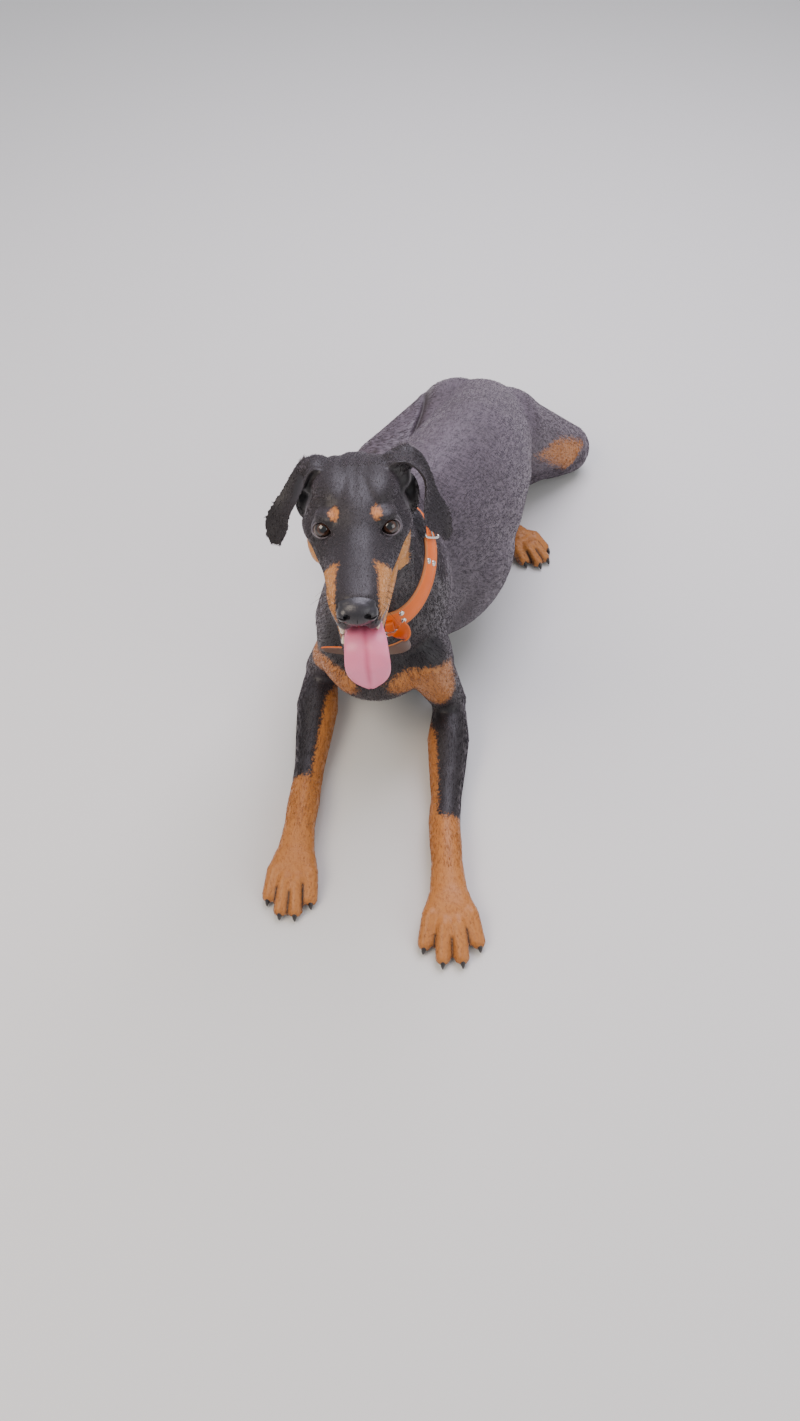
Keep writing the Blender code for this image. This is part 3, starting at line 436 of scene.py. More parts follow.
def seat(obj: bpy.types.Object, material: bpy.types.Material, nodes: tuple[str, ...] = ()) -> bpy.types.Object:
    """Give a finished piece its place in the row, its material and its body.

    Args:
        obj: The piece, modelled in the dog's frame.
        material: Its one material.
        nodes: The CAD nodes that it stands for.

    Returns:
        The piece.
    """
    obj.data.transform(Matrix.Translation(SHIFT))
    obj.data.materials.clear()
    obj.data.materials.append(material)
    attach(obj, "root")
    if nodes:
        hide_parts(*nodes)
    LOG.info("%s: %d faces", obj.name, len(obj.data.polygons))
    return obj


def linear(code: str) -> tuple[float, float, float, float]:
    """A colour's linear values with full alpha, from its sRGB hex code."""
    shares = [int(code[place:place + 2], 16) / 255.0 for place in (1, 3, 5)]
    return (*(share / 12.92 if share <= 0.04045 else ((share + 0.055) / 1.055) ** 2.4 for share in shares), 1.0)


def add_node(tree: bpy.types.NodeTree, kind: str, settings: dict | None = None,
             inputs: dict | None = None) -> bpy.types.Node:
    """Add one shader node.

    Args:
        tree: The material's node tree.
        kind: The node's type.
        settings: Properties to set.
        inputs: Sockets by name or number, each given a value or another node's output.

    Returns:
        The node.
    """
    node = tree.nodes.new(kind)
    for name, value in (settings or {}).items():
        setattr(node, name, value)
    for name, value in (inputs or {}).items():
        if isinstance(value, bpy.types.NodeSocket):
            tree.links.new(value, node.inputs[name])
        else:
            node.inputs[name].default_value = value
    return node


def new_material(name: str, sockets: dict) -> tuple[bpy.types.NodeTree, bpy.types.Node]:
    """Start a material and set its shader's own sockets.

    Args:
        name: The material's name.
        sockets: Values for the shader's sockets.

    Returns:
        The node tree and its Principled shader.
    """
    material = bpy.data.materials.new(name)
    material.use_nodes = True
    tree = material.node_tree
    shader = tree.nodes["Principled BSDF"]
    for socket, value in sockets.items():
        shader.inputs[socket].default_value = value
    return tree, shader


def blend_colour(tree: bpy.types.NodeTree, share: object, first: object, second: object) -> bpy.types.NodeSocket:
    """The colour at a share of the way from one to another."""
    return add_node(tree, "ShaderNodeMix", {"data_type": "RGBA"}, {0: share, 6: first, 7: second}).outputs[2]


@dataclass(frozen=True)
class ShortCoat:
    """A short, hard, glossy double of black and rust hair: grey-lilac where it mirrors the sky."""

    black: str = "#141113"
    brown_black: str = "#2b2426"
    # Painted reflection: toward the rear the black turns to these lighter colours, where the glossy back mirrors the
    # sky.
    sky_sheen_black: str = "#4a4248"
    sky_sheen_brown: str = "#695d68"
    rust: str = "#a05e28"
    pale_rust: str = "#c1823c"
    # Black of bare skin, also used as painted shade under each ear's fold.
    bare: str = "#1c191b"
    gum: str = "#5c2f33"
    # Painted shade for the clefts between the toes and the fold between thigh and flank.
    shaded_hollow: str = "#20150f"
    sheen: str = "#c4b5bf"
    roughness: float = 0.48

    def build(self, name: str, tufts: bool) -> bpy.types.Material:
        """Make the coat's material.

        Args:
            name: The material's name.
            tufts: Whether it is for tufts, which get no bare skin, gum or cleft masks.

        Returns:
            The material.
        """
        tree, shader = new_material(name, {"Roughness": self.roughness, "IOR": 1.46, "Sheen Weight": 0.34,
                                           "Sheen Roughness": 0.4, "Sheen Tint": linear(self.sheen)})
        place = add_node(tree, "ShaderNodeTexCoord").outputs["Object"]
        marking = add_node(tree, "ShaderNodeAttribute", {"attribute_name": "rust"}).outputs["Fac"]
        # Hair ends fray a border over about 4 mm, and half as much on the head.
        fray = add_node(tree, "ShaderNodeTexNoise", None, {"Vector": place, "Scale": 330.0, "Detail": 3.0})
        wander = add_node(tree, "ShaderNodeMapRange", None, {0: fray.outputs["Fac"], 3: -0.0085, 4: 0.0085})
        border = add_node(tree, "ShaderNodeMath", {"operation": "ADD"}, {0: marking, 1: wander.outputs[0]})
        share = add_node(tree, "ShaderNodeMapRange", {"interpolation_type": "SMOOTHSTEP"},
                         {0: border.outputs[0], 1: -0.0034, 2: 0.0034})
        broad = add_node(tree, "ShaderNodeTexNoise", None, {"Vector": place, "Scale": 11.0, "Detail": 3.0})
        fine = add_node(tree, "ShaderNodeTexNoise", None, {"Vector": place, "Scale": 620.0, "Detail": 2.0})
        dark = blend_colour(tree, broad.outputs["Fac"], linear(self.black), linear(self.brown_black))
        # Painted reflection of the sky: toward the rear the black is blended to lighter, browner colours.
        reach = add_node(tree, "ShaderNodeSeparateXYZ", None, {0: place}).outputs["Y"]
        back = add_node(tree, "ShaderNodeMapRange", {"interpolation_type": "SMOOTHSTEP"}, {0: reach, 1: -0.14, 2: 0.06})
        sky_reflection = blend_colour(tree, broad.outputs["Fac"], linear(self.sky_sheen_black), linear(self.sky_sheen_brown))
        dark = blend_colour(tree, back.outputs[0], dark, sky_reflection)
        # Over the loin the coat lies in ripples about 5 mm apart and twice as long; their troughs are bumped in and
        # darkened in colour as painted shade.
        turned = add_node(tree, "ShaderNodeMapping", None, {"Vector": place, "Rotation": (0.0, 0.0, 0.62),
                                                            "Scale": (90.0, 330.0, 200.0)})
        ripple = add_node(tree, "ShaderNodeTexNoise", None, {"Vector": turned.outputs[0], "Scale": 1.0, "Detail": 2.0})
        shaded_hollow = add_node(tree, "ShaderNodeMapRange", None, {0: ripple.outputs["Fac"], 1: 0.36, 2: 0.54})
        shade = add_node(tree, "ShaderNodeMath", {"operation": "MULTIPLY_ADD"},
                         {0: shaded_hollow.outputs[0], 1: 0.4, 2: 0.6})
        dark = add_node(tree, "ShaderNodeMix", {"data_type": "RGBA", "blend_type": "MULTIPLY"},
                        {0: back.outputs[0], 6: dark, 7: shade.outputs[0]}).outputs[2]
        mottle = add_node(tree, "ShaderNodeMath", {"operation": "MULTIPLY_ADD"},
                          {0: fine.outputs["Fac"], 1: 0.7, 2: 0.0})
        warm = blend_colour(tree, mottle.outputs[0], linear(self.rust), linear(self.pale_rust))
        pale = add_node(tree, "ShaderNodeAttribute", {"attribute_name": "pale"}).outputs["Fac"]
        warm = blend_colour(tree, pale, warm, linear("#dc9c50"))
        colour = blend_colour(tree, share.outputs[0], dark, warm)
        # Bare skin and gum are their own colours; the cleft mask paints shade into the clefts between the toes and the
        # fold between thigh and flank, and the bare mask also paints shade under each ear's fold.
        if not tufts:
            for word, code in (("bare", self.bare), ("gum", self.gum), ("cleft", self.shaded_hollow)):
                mask = add_node(tree, "ShaderNodeAttribute", {"attribute_name": word}).outputs["Fac"]
                colour = blend_colour(tree, mask, colour, linear(code))
        tree.links.new(colour, shader.inputs["Base Color"])
        # The coat's grain: strands about 1.5 mm apart, drawn a little coarser than the real ones.
        grain = add_node(tree, "ShaderNodeTexNoise", None, {"Vector": place, "Scale": 520.0, "Detail": 3.0})
        height = add_node(tree, "ShaderNodeMath", {"operation": "MULTIPLY"},
                          {0: shaded_hollow.outputs[0], 1: back.outputs[0]})
        waves = add_node(tree, "ShaderNodeBump", None,
                         {"Height": height.outputs[0], "Strength": 0.5, "Distance": 0.0007})
        bump = add_node(tree, "ShaderNodeBump", None,
                        {"Height": grain.outputs["Fac"], "Strength": 0.35, "Distance": 0.0006,
                         "Normal": waves.outputs[0]})
        tree.links.new(bump.outputs[0], shader.inputs["Normal"])
        return bpy.data.materials[name]


@dataclass(frozen=True)
class NoseLeather:
    """Bare, moist nose skin: near black, cobbled, with a wet shine."""

    colour: str = "#1b191b"
    worn: str = "#343036"

    def build(self) -> bpy.types.Material:
        """Make the nose's material."""
        tree, shader = new_material("nose_leather", {"Roughness": 0.36, "IOR": 1.45, "Coat Weight": 0.25,
                                                     "Coat Roughness": 0.28})
        place = add_node(tree, "ShaderNodeTexCoord").outputs["Object"]
        # Cobbles of nose skin are about 1 mm across.
        cobble = add_node(tree, "ShaderNodeTexVoronoi", None, {"Vector": place, "Scale": 900.0})
        patch = add_node(tree, "ShaderNodeTexNoise", None, {"Vector": place, "Scale": 90.0, "Detail": 3.0})
        colour = blend_colour(tree, patch.outputs["Fac"], linear(self.colour), linear(self.worn))
        tree.links.new(colour, shader.inputs["Base Color"])
        bump = add_node(tree, "ShaderNodeBump", {"invert": True},
                        {"Height": cobble.outputs["Distance"], "Strength": 0.45, "Distance": 0.0004})
        tree.links.new(bump.outputs[0], shader.inputs["Normal"])
        return bpy.data.materials["nose_leather"]


@dataclass(frozen=True)
class WetTongue:
    """Wet tongue flesh: pink, with a redder line of painted shade along the furrow down its middle, redder toward its
    tip, and fine bumps that break the shine.
    """

    edge: str = "#ec86a4"
    middle: str = "#cc5678"

    def build(self) -> bpy.types.Material:
        """Make the tongue's material."""
        tree, shader = new_material("wet_tongue", {"Roughness": 0.42, "Subsurface Weight": 0.2,
                                                   "Subsurface Radius": (0.012, 0.004, 0.003),
                                                   "Subsurface Scale": 0.5, "Coat Weight": 0.18,
                                                   "Coat Roughness": 0.25})
        place = add_node(tree, "ShaderNodeTexCoord").outputs["Object"]
        # The middle mask is painted shade along the furrow, and also darkens the tip.
        middle = add_node(tree, "ShaderNodeAttribute", {"attribute_name": "middle"}).outputs["Fac"]
        patch = add_node(tree, "ShaderNodeTexNoise", None, {"Vector": place, "Scale": 60.0, "Detail": 3.0})
        mixed = add_node(tree, "ShaderNodeMath", {"operation": "MULTIPLY_ADD", "use_clamp": True},
                         {0: patch.outputs["Fac"], 1: 0.35, 2: middle})
        tree.links.new(blend_colour(tree, mixed.outputs[0], linear(self.edge), linear(self.middle)),
                       shader.inputs["Base Color"])
        # Its bumps are about 0.8 mm apart.
        bumps = add_node(tree, "ShaderNodeTexVoronoi", None, {"Vector": place, "Scale": 1200.0})
        bump = add_node(tree, "ShaderNodeBump", {"invert": True},
                        {"Height": bumps.outputs["Distance"], "Strength": 0.25, "Distance": 0.0003})
        tree.links.new(bump.outputs[0], shader.inputs["Normal"])
        return bpy.data.materials["wet_tongue"]


@dataclass(frozen=True)
class WetEye:
    """A wet eyeball: black pupil, brown iris with radial fibres, dark rim and a dull white."""

    stops: tuple = ((0.0, "#050405"), (0.24, "#050405"), (0.29, "#21140f"), (0.44, "#4c3125"),
                    (0.58, "#2a1a14"), (0.64, "#0e0a0a"), (0.72, "#241b1b"), (0.86, "#6e615e"), (1.0, "#9a8c88"))

    def build(self) -> bpy.types.Material:
        """Make the eye's material, coloured by the ring and spoke that each point keeps."""
        tree, shader = new_material("wet_eye", {"Roughness": 0.12, "IOR": 1.38, "Coat Weight": 1.0,
                                                "Coat Roughness": 0.02})
        ring = add_node(tree, "ShaderNodeAttribute", {"attribute_name": "ring"}).outputs["Fac"]
        spoke = add_node(tree, "ShaderNodeAttribute", {"attribute_name": "spoke"}).outputs["Fac"]
        around = add_node(tree, "ShaderNodeCombineXYZ", None, {0: spoke, 1: ring})
        fibre = add_node(tree, "ShaderNodeTexNoise", None, {"Vector": around.outputs[0], "Scale": 5.0})
        shifted = add_node(tree, "ShaderNodeMath", {"operation": "MULTIPLY_ADD"},
                           {0: fibre.outputs["Fac"], 1: 0.06, 2: ring})
        colours = add_node(tree, "ShaderNodeValToRGB", None, {0: shifted.outputs[0]})
        elements = colours.color_ramp.elements
        while len(elements) > 1:
            elements.remove(elements[0])
        for index, (place, code) in enumerate(self.stops):
            element = elements[0] if index == 0 else elements.new(place)
            element.position = place
            element.color = linear(code)
        tree.links.new(colours.outputs[0], shader.inputs["Base Color"])
        return bpy.data.materials["wet_eye"]


@dataclass(frozen=True)
class PlainFinish:
    """A surface of one substance with a slight mottle: horn, tooth enamel, whisker or lid skin."""

    name: str
    light: str
    dark: str
    roughness: float
    grain: float
    coat: float = 0.0

    def build(self) -> bpy.types.Material:
        """Make the material; grain is how many patches fit in a metre."""
        tree, shader = new_material(self.name, {"Roughness": self.roughness, "Coat Weight": self.coat,
                                                "Coat Roughness": 0.15})
        place = add_node(tree, "ShaderNodeTexCoord").outputs["Object"]
        patch = add_node(tree, "ShaderNodeTexNoise", None, {"Vector": place, "Scale": self.grain, "Detail": 3.0})
        tree.links.new(blend_colour(tree, patch.outputs["Fac"], linear(self.dark), linear(self.light)),
                       shader.inputs["Base Color"])
        bump = add_node(tree, "ShaderNodeBump", None,
                        {"Height": patch.outputs["Fac"], "Strength": 0.2, "Distance": 0.0002})
        tree.links.new(bump.outputs[0], shader.inputs["Normal"])
        return bpy.data.materials[self.name]


@dataclass(frozen=True)
class BridleLeather:
    """Dyed bridle leather: waxed orange grain, paler along its cut edges, with a raw brown flesh side."""

    face: str = "#f4740c"
    deep: str = "#d4590a"
    edge: str = "#c47236"
    flesh: str = "#54392c"

    def build(self) -> bpy.types.Material:
        """Make the leather's material: the point's own side is 0 on the flesh side and 1 on the grain side."""
        tree, shader = new_material("bridle_leather", {"Roughness": 0.5, "Coat Weight": 0.06,
                                                       "Coat Roughness": 0.35})
        place = add_node(tree, "ShaderNodeTexCoord").outputs["Object"]
        side = add_node(tree, "ShaderNodeAttribute", {"attribute_name": "grain_side"}).outputs["Fac"]
        rim = add_node(tree, "ShaderNodeAttribute", {"attribute_name": "rim"}).outputs["Fac"]
        patch = add_node(tree, "ShaderNodeTexNoise", None, {"Vector": place, "Scale": 70.0, "Detail": 4.0})
        colour = blend_colour(tree, patch.outputs["Fac"], linear(self.face), linear(self.deep))
        colour = blend_colour(tree, rim, colour, linear(self.edge))
        outer = add_node(tree, "ShaderNodeMapRange", None, {0: side, 1: 0.25, 2: 0.6})
        tree.links.new(blend_colour(tree, outer.outputs[0], linear(self.flesh), colour),
                       shader.inputs["Base Color"])
        # Pores of the grain are about 0.9 mm apart.
        pores = add_node(tree, "ShaderNodeTexVoronoi", None, {"Vector": place, "Scale": 1100.0})
        bump = add_node(tree, "ShaderNodeBump", None,
                        {"Height": pores.outputs["Distance"], "Strength": 0.3, "Distance": 0.0003})
        tree.links.new(bump.outputs[0], shader.inputs["Normal"])
        return bpy.data.materials["bridle_leather"]


@dataclass(frozen=True)
class NickelPlate:
    """Nickel-plated steel: bright, slightly warm, with fine handling scratches that dull it."""

    colour: str = "#d6d3cc"

    def build(self) -> bpy.types.Material:
        """Make the metal's material."""
        tree, shader = new_material("nickel_plate", {"Metallic": 1.0, "Base Color": linear(self.colour)})
        place = add_node(tree, "ShaderNodeTexCoord").outputs["Object"]
        wear = add_node(tree, "ShaderNodeTexNoise", None, {"Vector": place, "Scale": 400.0, "Detail": 4.0})
        dulled = add_node(tree, "ShaderNodeMapRange", None, {0: wear.outputs["Fac"], 3: 0.14, 4: 0.34})
        tree.links.new(dulled.outputs[0], shader.inputs["Roughness"])
        return bpy.data.materials["nickel_plate"]


@dataclass(frozen=True)
class Trunk:
    """Neck, chest, loin, croup and docked tail, as outlines along a spine that bends to the dog's left."""

    spine: tuple = (
        ((-0.105, -0.158, 0.165), 0.020, 0.020, 0.020), ((-0.105, -0.150, 0.165), 0.048, 0.045, 0.048),
        ((-0.103, -0.125, 0.160), 0.068, 0.070, 0.070),
        ((-0.0985, -0.070, 0.165), 0.081, 0.105, 0.125, 0.25, 0.28),
        ((-0.077, 0.005, 0.165), 0.091, 0.147, 0.168, 0.42, 0.26),
        ((-0.038, 0.085, 0.163), 0.101, 0.137, 0.158, 0.25, 0.20),
        ((0.000, 0.165, 0.160), 0.104, 0.125, 0.128, 0.20, 0.15),
        ((0.030, 0.245, 0.160), 0.092, 0.107, 0.098, 0.20, 0.20),
        ((0.046, 0.310, 0.155), 0.080, 0.083, 0.080, 0.15, 0.15), ((0.051, 0.360, 0.145), 0.070, 0.070, 0.070),
        ((0.053, 0.395, 0.135), 0.048, 0.050, 0.050), ((0.053, 0.410, 0.130), 0.020, 0.022, 0.022),
    )
    neck: tuple = (
        ((-0.080, -0.030, 0.190), 0.074, 0.096, 0.096), ((-0.084, -0.062, 0.236), 0.075, 0.092, 0.098),
        ((-0.088, -0.084, 0.276), 0.069, 0.080, 0.095), ((-0.0905, -0.105, 0.317), 0.0575, 0.065, 0.083),
        ((-0.091, -0.119, 0.336), 0.0465, 0.057, 0.067), ((-0.098, -0.134, 0.362), 0.0450, 0.055, 0.059),
        ((-0.108, -0.138, 0.392), 0.047, 0.054, 0.056), ((-0.112, -0.140, 0.420), 0.044, 0.046, 0.050),
    )

    def neck_body(self) -> bpy.types.Object:
        """The neck from the chest to under the skull."""
        return loft("Neck", [section(*row) for row in self.neck], sides=32, across=(-1.0, 0.0, 0.0))

    def bodies(self) -> list[bpy.types.Object]:
        """The trunk's closed bodies, which overlap."""
        return [
            loft("Trunk", [section(*row) for row in self.spine], sides=40),
            self.neck_body(),
            mass("Breast", (-0.098, -0.128, 0.156), (0.060, 0.040, 0.054)),
            mass("Croup", (0.048, 0.310, 0.160), (0.066, 0.078, 0.062), TRUNK_AXIS),
            mass("Ribs", (0.0035, 0.0700, 0.126), (0.070, 0.120, 0.076), (0.522, 0.853, 0.0)),
            bone("Tail", TAIL_ROOT - Vector((0.0, 0.028, 0.0)), TAIL_TIP, 0.018, 0.0105),
        ]


@dataclass(frozen=True)
class Paw:
    """Four arched toes fanned about a course, with pads under them and a claw beyond each tip."""

    root: Vector
    course: Vector
    width: float
    toe_length: float
    size: float
    splay: float
    palm: float

    def toes(self) -> list[tuple[Vector, Vector, float]]:
        """Each toe's root, direction and length, from the dog's right to its left."""
        side = Vector((self.course.y, -self.course.x, 0.0))
        found = []
        for place in (-1.5, -0.5, 0.5, 1.5):
            outer = abs(place) > 1.0
            turn = Matrix.Rotation(math.radians(-self.splay * place), 3, "Z")
            start = self.root + side * self.width * place / 3.0 - self.course * (0.010 if outer else 0.0)
            start.z = self.size * 1.75
            found.append((start, turn @ self.course, self.toe_length * (0.88 if outer else 1.0)))
        return found

    def bodies(self) -> list[bpy.types.Object]:
        """Toes, knuckles and pads, which overlap."""
        size = self.size
        made = []
        for root, course, length in self.toes():
            knuckle = root + course * length * 0.42 + UP * size * 0.32
            tip = root + course * length
            tip.z = size * 0.92
            pad = tip - course * size * 0.7 - UP * size * 0.25
            made += [bone("Toe", root, knuckle, size * (0.78 if length < self.toe_length else 1.0), size * 1.04),
                     bone("Tip", knuckle, tip, size * 1.04, size * 0.92),
                     bone("Pad", pad, tip, size * 0.85, size * 0.80)]
        back = [section(self.root + self.course * reach + UP * (high - self.root.z), wide, high * 0.62, square=0.85)
                for reach, wide, high in ((-0.018, self.width * 0.62, self.size * 1.66),
                                          (0.000, self.width * 0.73, self.size * 1.56),
                                          (self.toe_length * 0.30, self.width * 0.81, self.size * 1.46),
                                          (self.toe_length * 0.58, self.width * 0.84, self.size * 1.26),
                                          (self.toe_length * 0.74, self.width * 0.74, self.size * 0.92))]
        made.append(loft("Back", back, sides=24))
        under = self.root - self.course * 0.002
        under.z = self.palm * 0.40
        made.append(mass("Palm", under, (self.width * 0.52, self.palm * 1.15, self.palm * 0.75), self.course))
        return made

    def claws(self) -> list[bpy.types.Object]:
        """One curved horn claw from the end of each toe."""
        made = []
        for root, course, length in self.toes():
            tip = root + course * length
            tip.z = self.size * 0.92
            rows = []
            for share in (0.0, 0.2, 0.45, 0.7, 0.9, 1.0):
                turn = share * 1.25
                place = tip + course * (self.size * 0.20 + 0.0095 * math.sin(turn))
                place.z = self.size * 1.00 - 0.0105 * (1.0 - math.cos(turn)) - share * 0.0010
                wide = self.size * 0.42 * (1.0 - share ** 2.2) + 0.0004
                rows.append(section(place, wide * 0.8, wide * 1.05))
            made.append(loft("Claw", rows, sides=12))
        return made


@dataclass(frozen=True)
class ForeLeg:
    """One foreleg, its forearm flat on the floor."""

    side: Side
    shoulder: Vector
    elbow: Vector
    wrist: Vector
    toe: Vector
    splay: float

    @property
    def course(self) -> Vector:
        """The level direction from the wrist to the toes."""
        reach = self.toe - self.wrist
        reach.z = 0.0
        return reach.normalized()

    @property
    def heel(self) -> Vector:
        """Where the pastern meets the paw."""
        reach = self.toe - self.wrist
        reach.z = 0.0
        place = self.toe - reach * 0.46
        place.z = 0.021
        return place

    def paw(self) -> Paw:
        """The paw at the end of the leg."""
        length = (self.toe - self.wrist).xy.length
        return Paw(self.heel + self.course * 0.006, self.course, 0.036, length * 0.36, 0.0103,
                   self.splay / 1.5, 0.017)

    def upper_bodies(self) -> list[bpy.types.Object]:
        """Shoulder blade, upper arm, elbow and forearm."""
        out = self.side.value
        top = WITHERS + Vector((out * 0.022, 0.0, 0.0))
        blade = self.shoulder.lerp(top, 0.45) - Vector((out * 0.006, -0.012, 0.006))
        arm = self.shoulder.lerp(self.elbow, 0.45) + Vector((-out * 0.008, 0.032, 0.012))
        return [
            mass("Blade", blade, (0.060, 0.110, 0.028), top - self.shoulder, (out, 0.0, 0.45)),
            bone("Arm", self.shoulder, self.elbow, 0.032, 0.021, 1.10, (out, 0.0, 0.0)),
            mass("Triceps", arm, (0.052, 0.080, 0.028), self.shoulder - self.elbow, (out, 0.0, 0.0)),
            bone("Elbow", self.elbow, self.elbow + Vector((0.0, 0.026, -0.008)), 0.021, 0.017),
            self.forearm(1.12),
        ]

    def forearm(self, end: float) -> bpy.types.Object:
        """The forearm from the elbow to a share of the way past the wrist."""
        shape = ((-0.05, 0.020, 0.028), (0.10, 0.0235, 0.032), (0.28, 0.0275, 0.031), (0.50, 0.0240, 0.025),
                 (0.72, 0.0195, 0.021), (0.90, 0.0190, 0.0195), (1.0, 0.0200, 0.0200), (end, 0.0185, 0.0185))
        rows = []
        for share, wide, tall in shape:
            place = self.elbow + (self.wrist - self.elbow) * share
            place.z = max(tall - 0.0015, 0.020)
            rows.append(section(place, wide, tall, square=0.9))
        return loft("Forearm", rows, sides=24)

    def fine_bodies(self) -> list[bpy.types.Object]:
        """Wrist, pastern, stopper pad and paw."""
        course, heel = self.course, self.heel
        middle = self.wrist.lerp(heel, 0.45)
        start = self.wrist - UP * 0.0095
        rows = [
            section(start - course * 0.046, 0.0160, 0.0160), section(start - course * 0.020 + UP * 0.003, 0.0195, 0.0180),
            section(self.wrist + course * 0.010 - UP * 0.004, 0.0200, 0.0180),
            section(middle, 0.0192, 0.0165), section(heel - course * 0.016, 0.0228, 0.0158),
            section(heel - course * 0.004, 0.0262, 0.0152, square=0.85),
            section(heel + course * 0.010, 0.0278, 0.0130, square=0.85),
            section(heel + course * 0.024 - UP * 0.002, 0.0268, 0.0108, square=0.85),
            section(heel + course * 0.036 - UP * 0.004, 0.0205, 0.0078, square=0.85),
        ]
        stopper = mass("Stopper", self.wrist + course * 0.022 - UP * 0.017, (0.009, 0.011, 0.008), course)
        return [self.forearm(1.0), loft("Pastern", rows, sides=24), stopper] + self.paw().bodies()


@dataclass(frozen=True)
class HindLeg:
    """One folded hind leg, its long pastern flat on the floor."""

    side: Side
    hip: Vector
    knee: Vector
    hock: Vector
    toe: Vector
    bulge: float

    @property
    def course(self) -> Vector:
        """The level direction from the hock to the toes."""
        reach = self.toe - self.hock
        reach.z = 0.0
        return reach.normalized()

    @property
    def heel(self) -> Vector:
        """Where the pastern meets the paw."""
        reach = self.toe - self.hock
        reach.z = 0.0
        place = self.toe - reach * 0.33
        place.z = 0.020
        return place

    def paw(self) -> Paw:
        """The paw at the end of the leg."""
        length = (self.toe - self.hock).xy.length
        return Paw(self.heel + self.course * 0.005, self.course, 0.031, length * 0.235, 0.0095, 7.0, 0.014)

    def upper_bodies(self) -> list[bpy.types.Object]:
        """Thigh, ham, knee and shank."""
        out = self.side.value
        haunch = self.hip + Vector((-out * 0.006, 0.006, 0.004))
        ham = self.hip.lerp(self.knee, 0.42).lerp(self.knee.lerp(self.hock, 0.55), 0.36)
        calf = self.knee.lerp(self.hock, 0.42) + Vector((0.0, 0.004, 0.006))
        return [
            mass("Haunch", haunch, (0.056, 0.072, 0.058), self.knee - self.hip),
            bone("Thigh", self.hip, self.knee, 0.057, 0.041),
            mass("Ham", ham, (0.048 * self.bulge, 0.092, 0.046), self.knee - self.hip),
            bone("Knee", self.knee, self.knee.lerp(self.hock, 0.18), 0.042, 0.037),
            mass("Calf", calf, (0.037, 0.086, 0.035), self.hock - self.knee),
            bone("Shank", self.knee, self.hock, 0.036, 0.019),
        ]

    def fine_bodies(self) -> list[bpy.types.Object]:
        """Hock, long pastern and paw."""
        course, heel = self.course, self.heel
        ankle = Vector((self.hock.x, self.hock.y, 0.024))
        rows = [
            section(ankle - course * 0.010, 0.0130, 0.0150), section(ankle + course * 0.010, 0.0165, 0.0210),
            section(ankle.lerp(heel, 0.35), 0.0150, 0.0160), section(ankle.lerp(heel, 0.75), 0.0150, 0.0135),
            section(heel, 0.0185, 0.0135, square=0.85), section(heel + course * 0.010, 0.0165, 0.0110, square=0.85),
        ]
        point = ankle - course * 0.022 + UP * 0.004
        return [loft("Pastern", rows, sides=24), bone("Heel", ankle - course * 0.004, point, 0.0150, 0.0105),
                bone("Shank", self.knee.lerp(self.hock, 0.7), self.hock, 0.0235, 0.019)] + self.paw().bodies()


FORELEGS = (
    ForeLeg(Side.LEFT, Vector((-0.044, -0.128, 0.172)), Vector((-0.004, -0.095, 0.043)),
            Vector((-0.015, -0.289, 0.030)), Vector((-0.0095, -0.456, 0.012)), 14.0),
    ForeLeg(Side.RIGHT, Vector((-0.132, -0.098, 0.174)), Vector((-0.176, -0.036, 0.043)),
            Vector((-0.1905, -0.241, 0.030)), Vector((-0.2035, -0.394, 0.012)), 8.0),
)
HINDLEGS = (
    HindLeg(Side.LEFT, Vector((0.095, 0.356, 0.134)), Vector((0.198, 0.434, 0.0395)),
            Vector((0.040, 0.335, 0.026)), Vector((0.1515, 0.197, 0.011)), 0.9),
    HindLeg(Side.RIGHT, Vector((0.000, 0.352, 0.150)), Vector((-0.097, 0.262, 0.142)),
            Vector((-0.062, 0.415, 0.036)), Vector((-0.132, 0.222, 0.011)), 1.0),
)


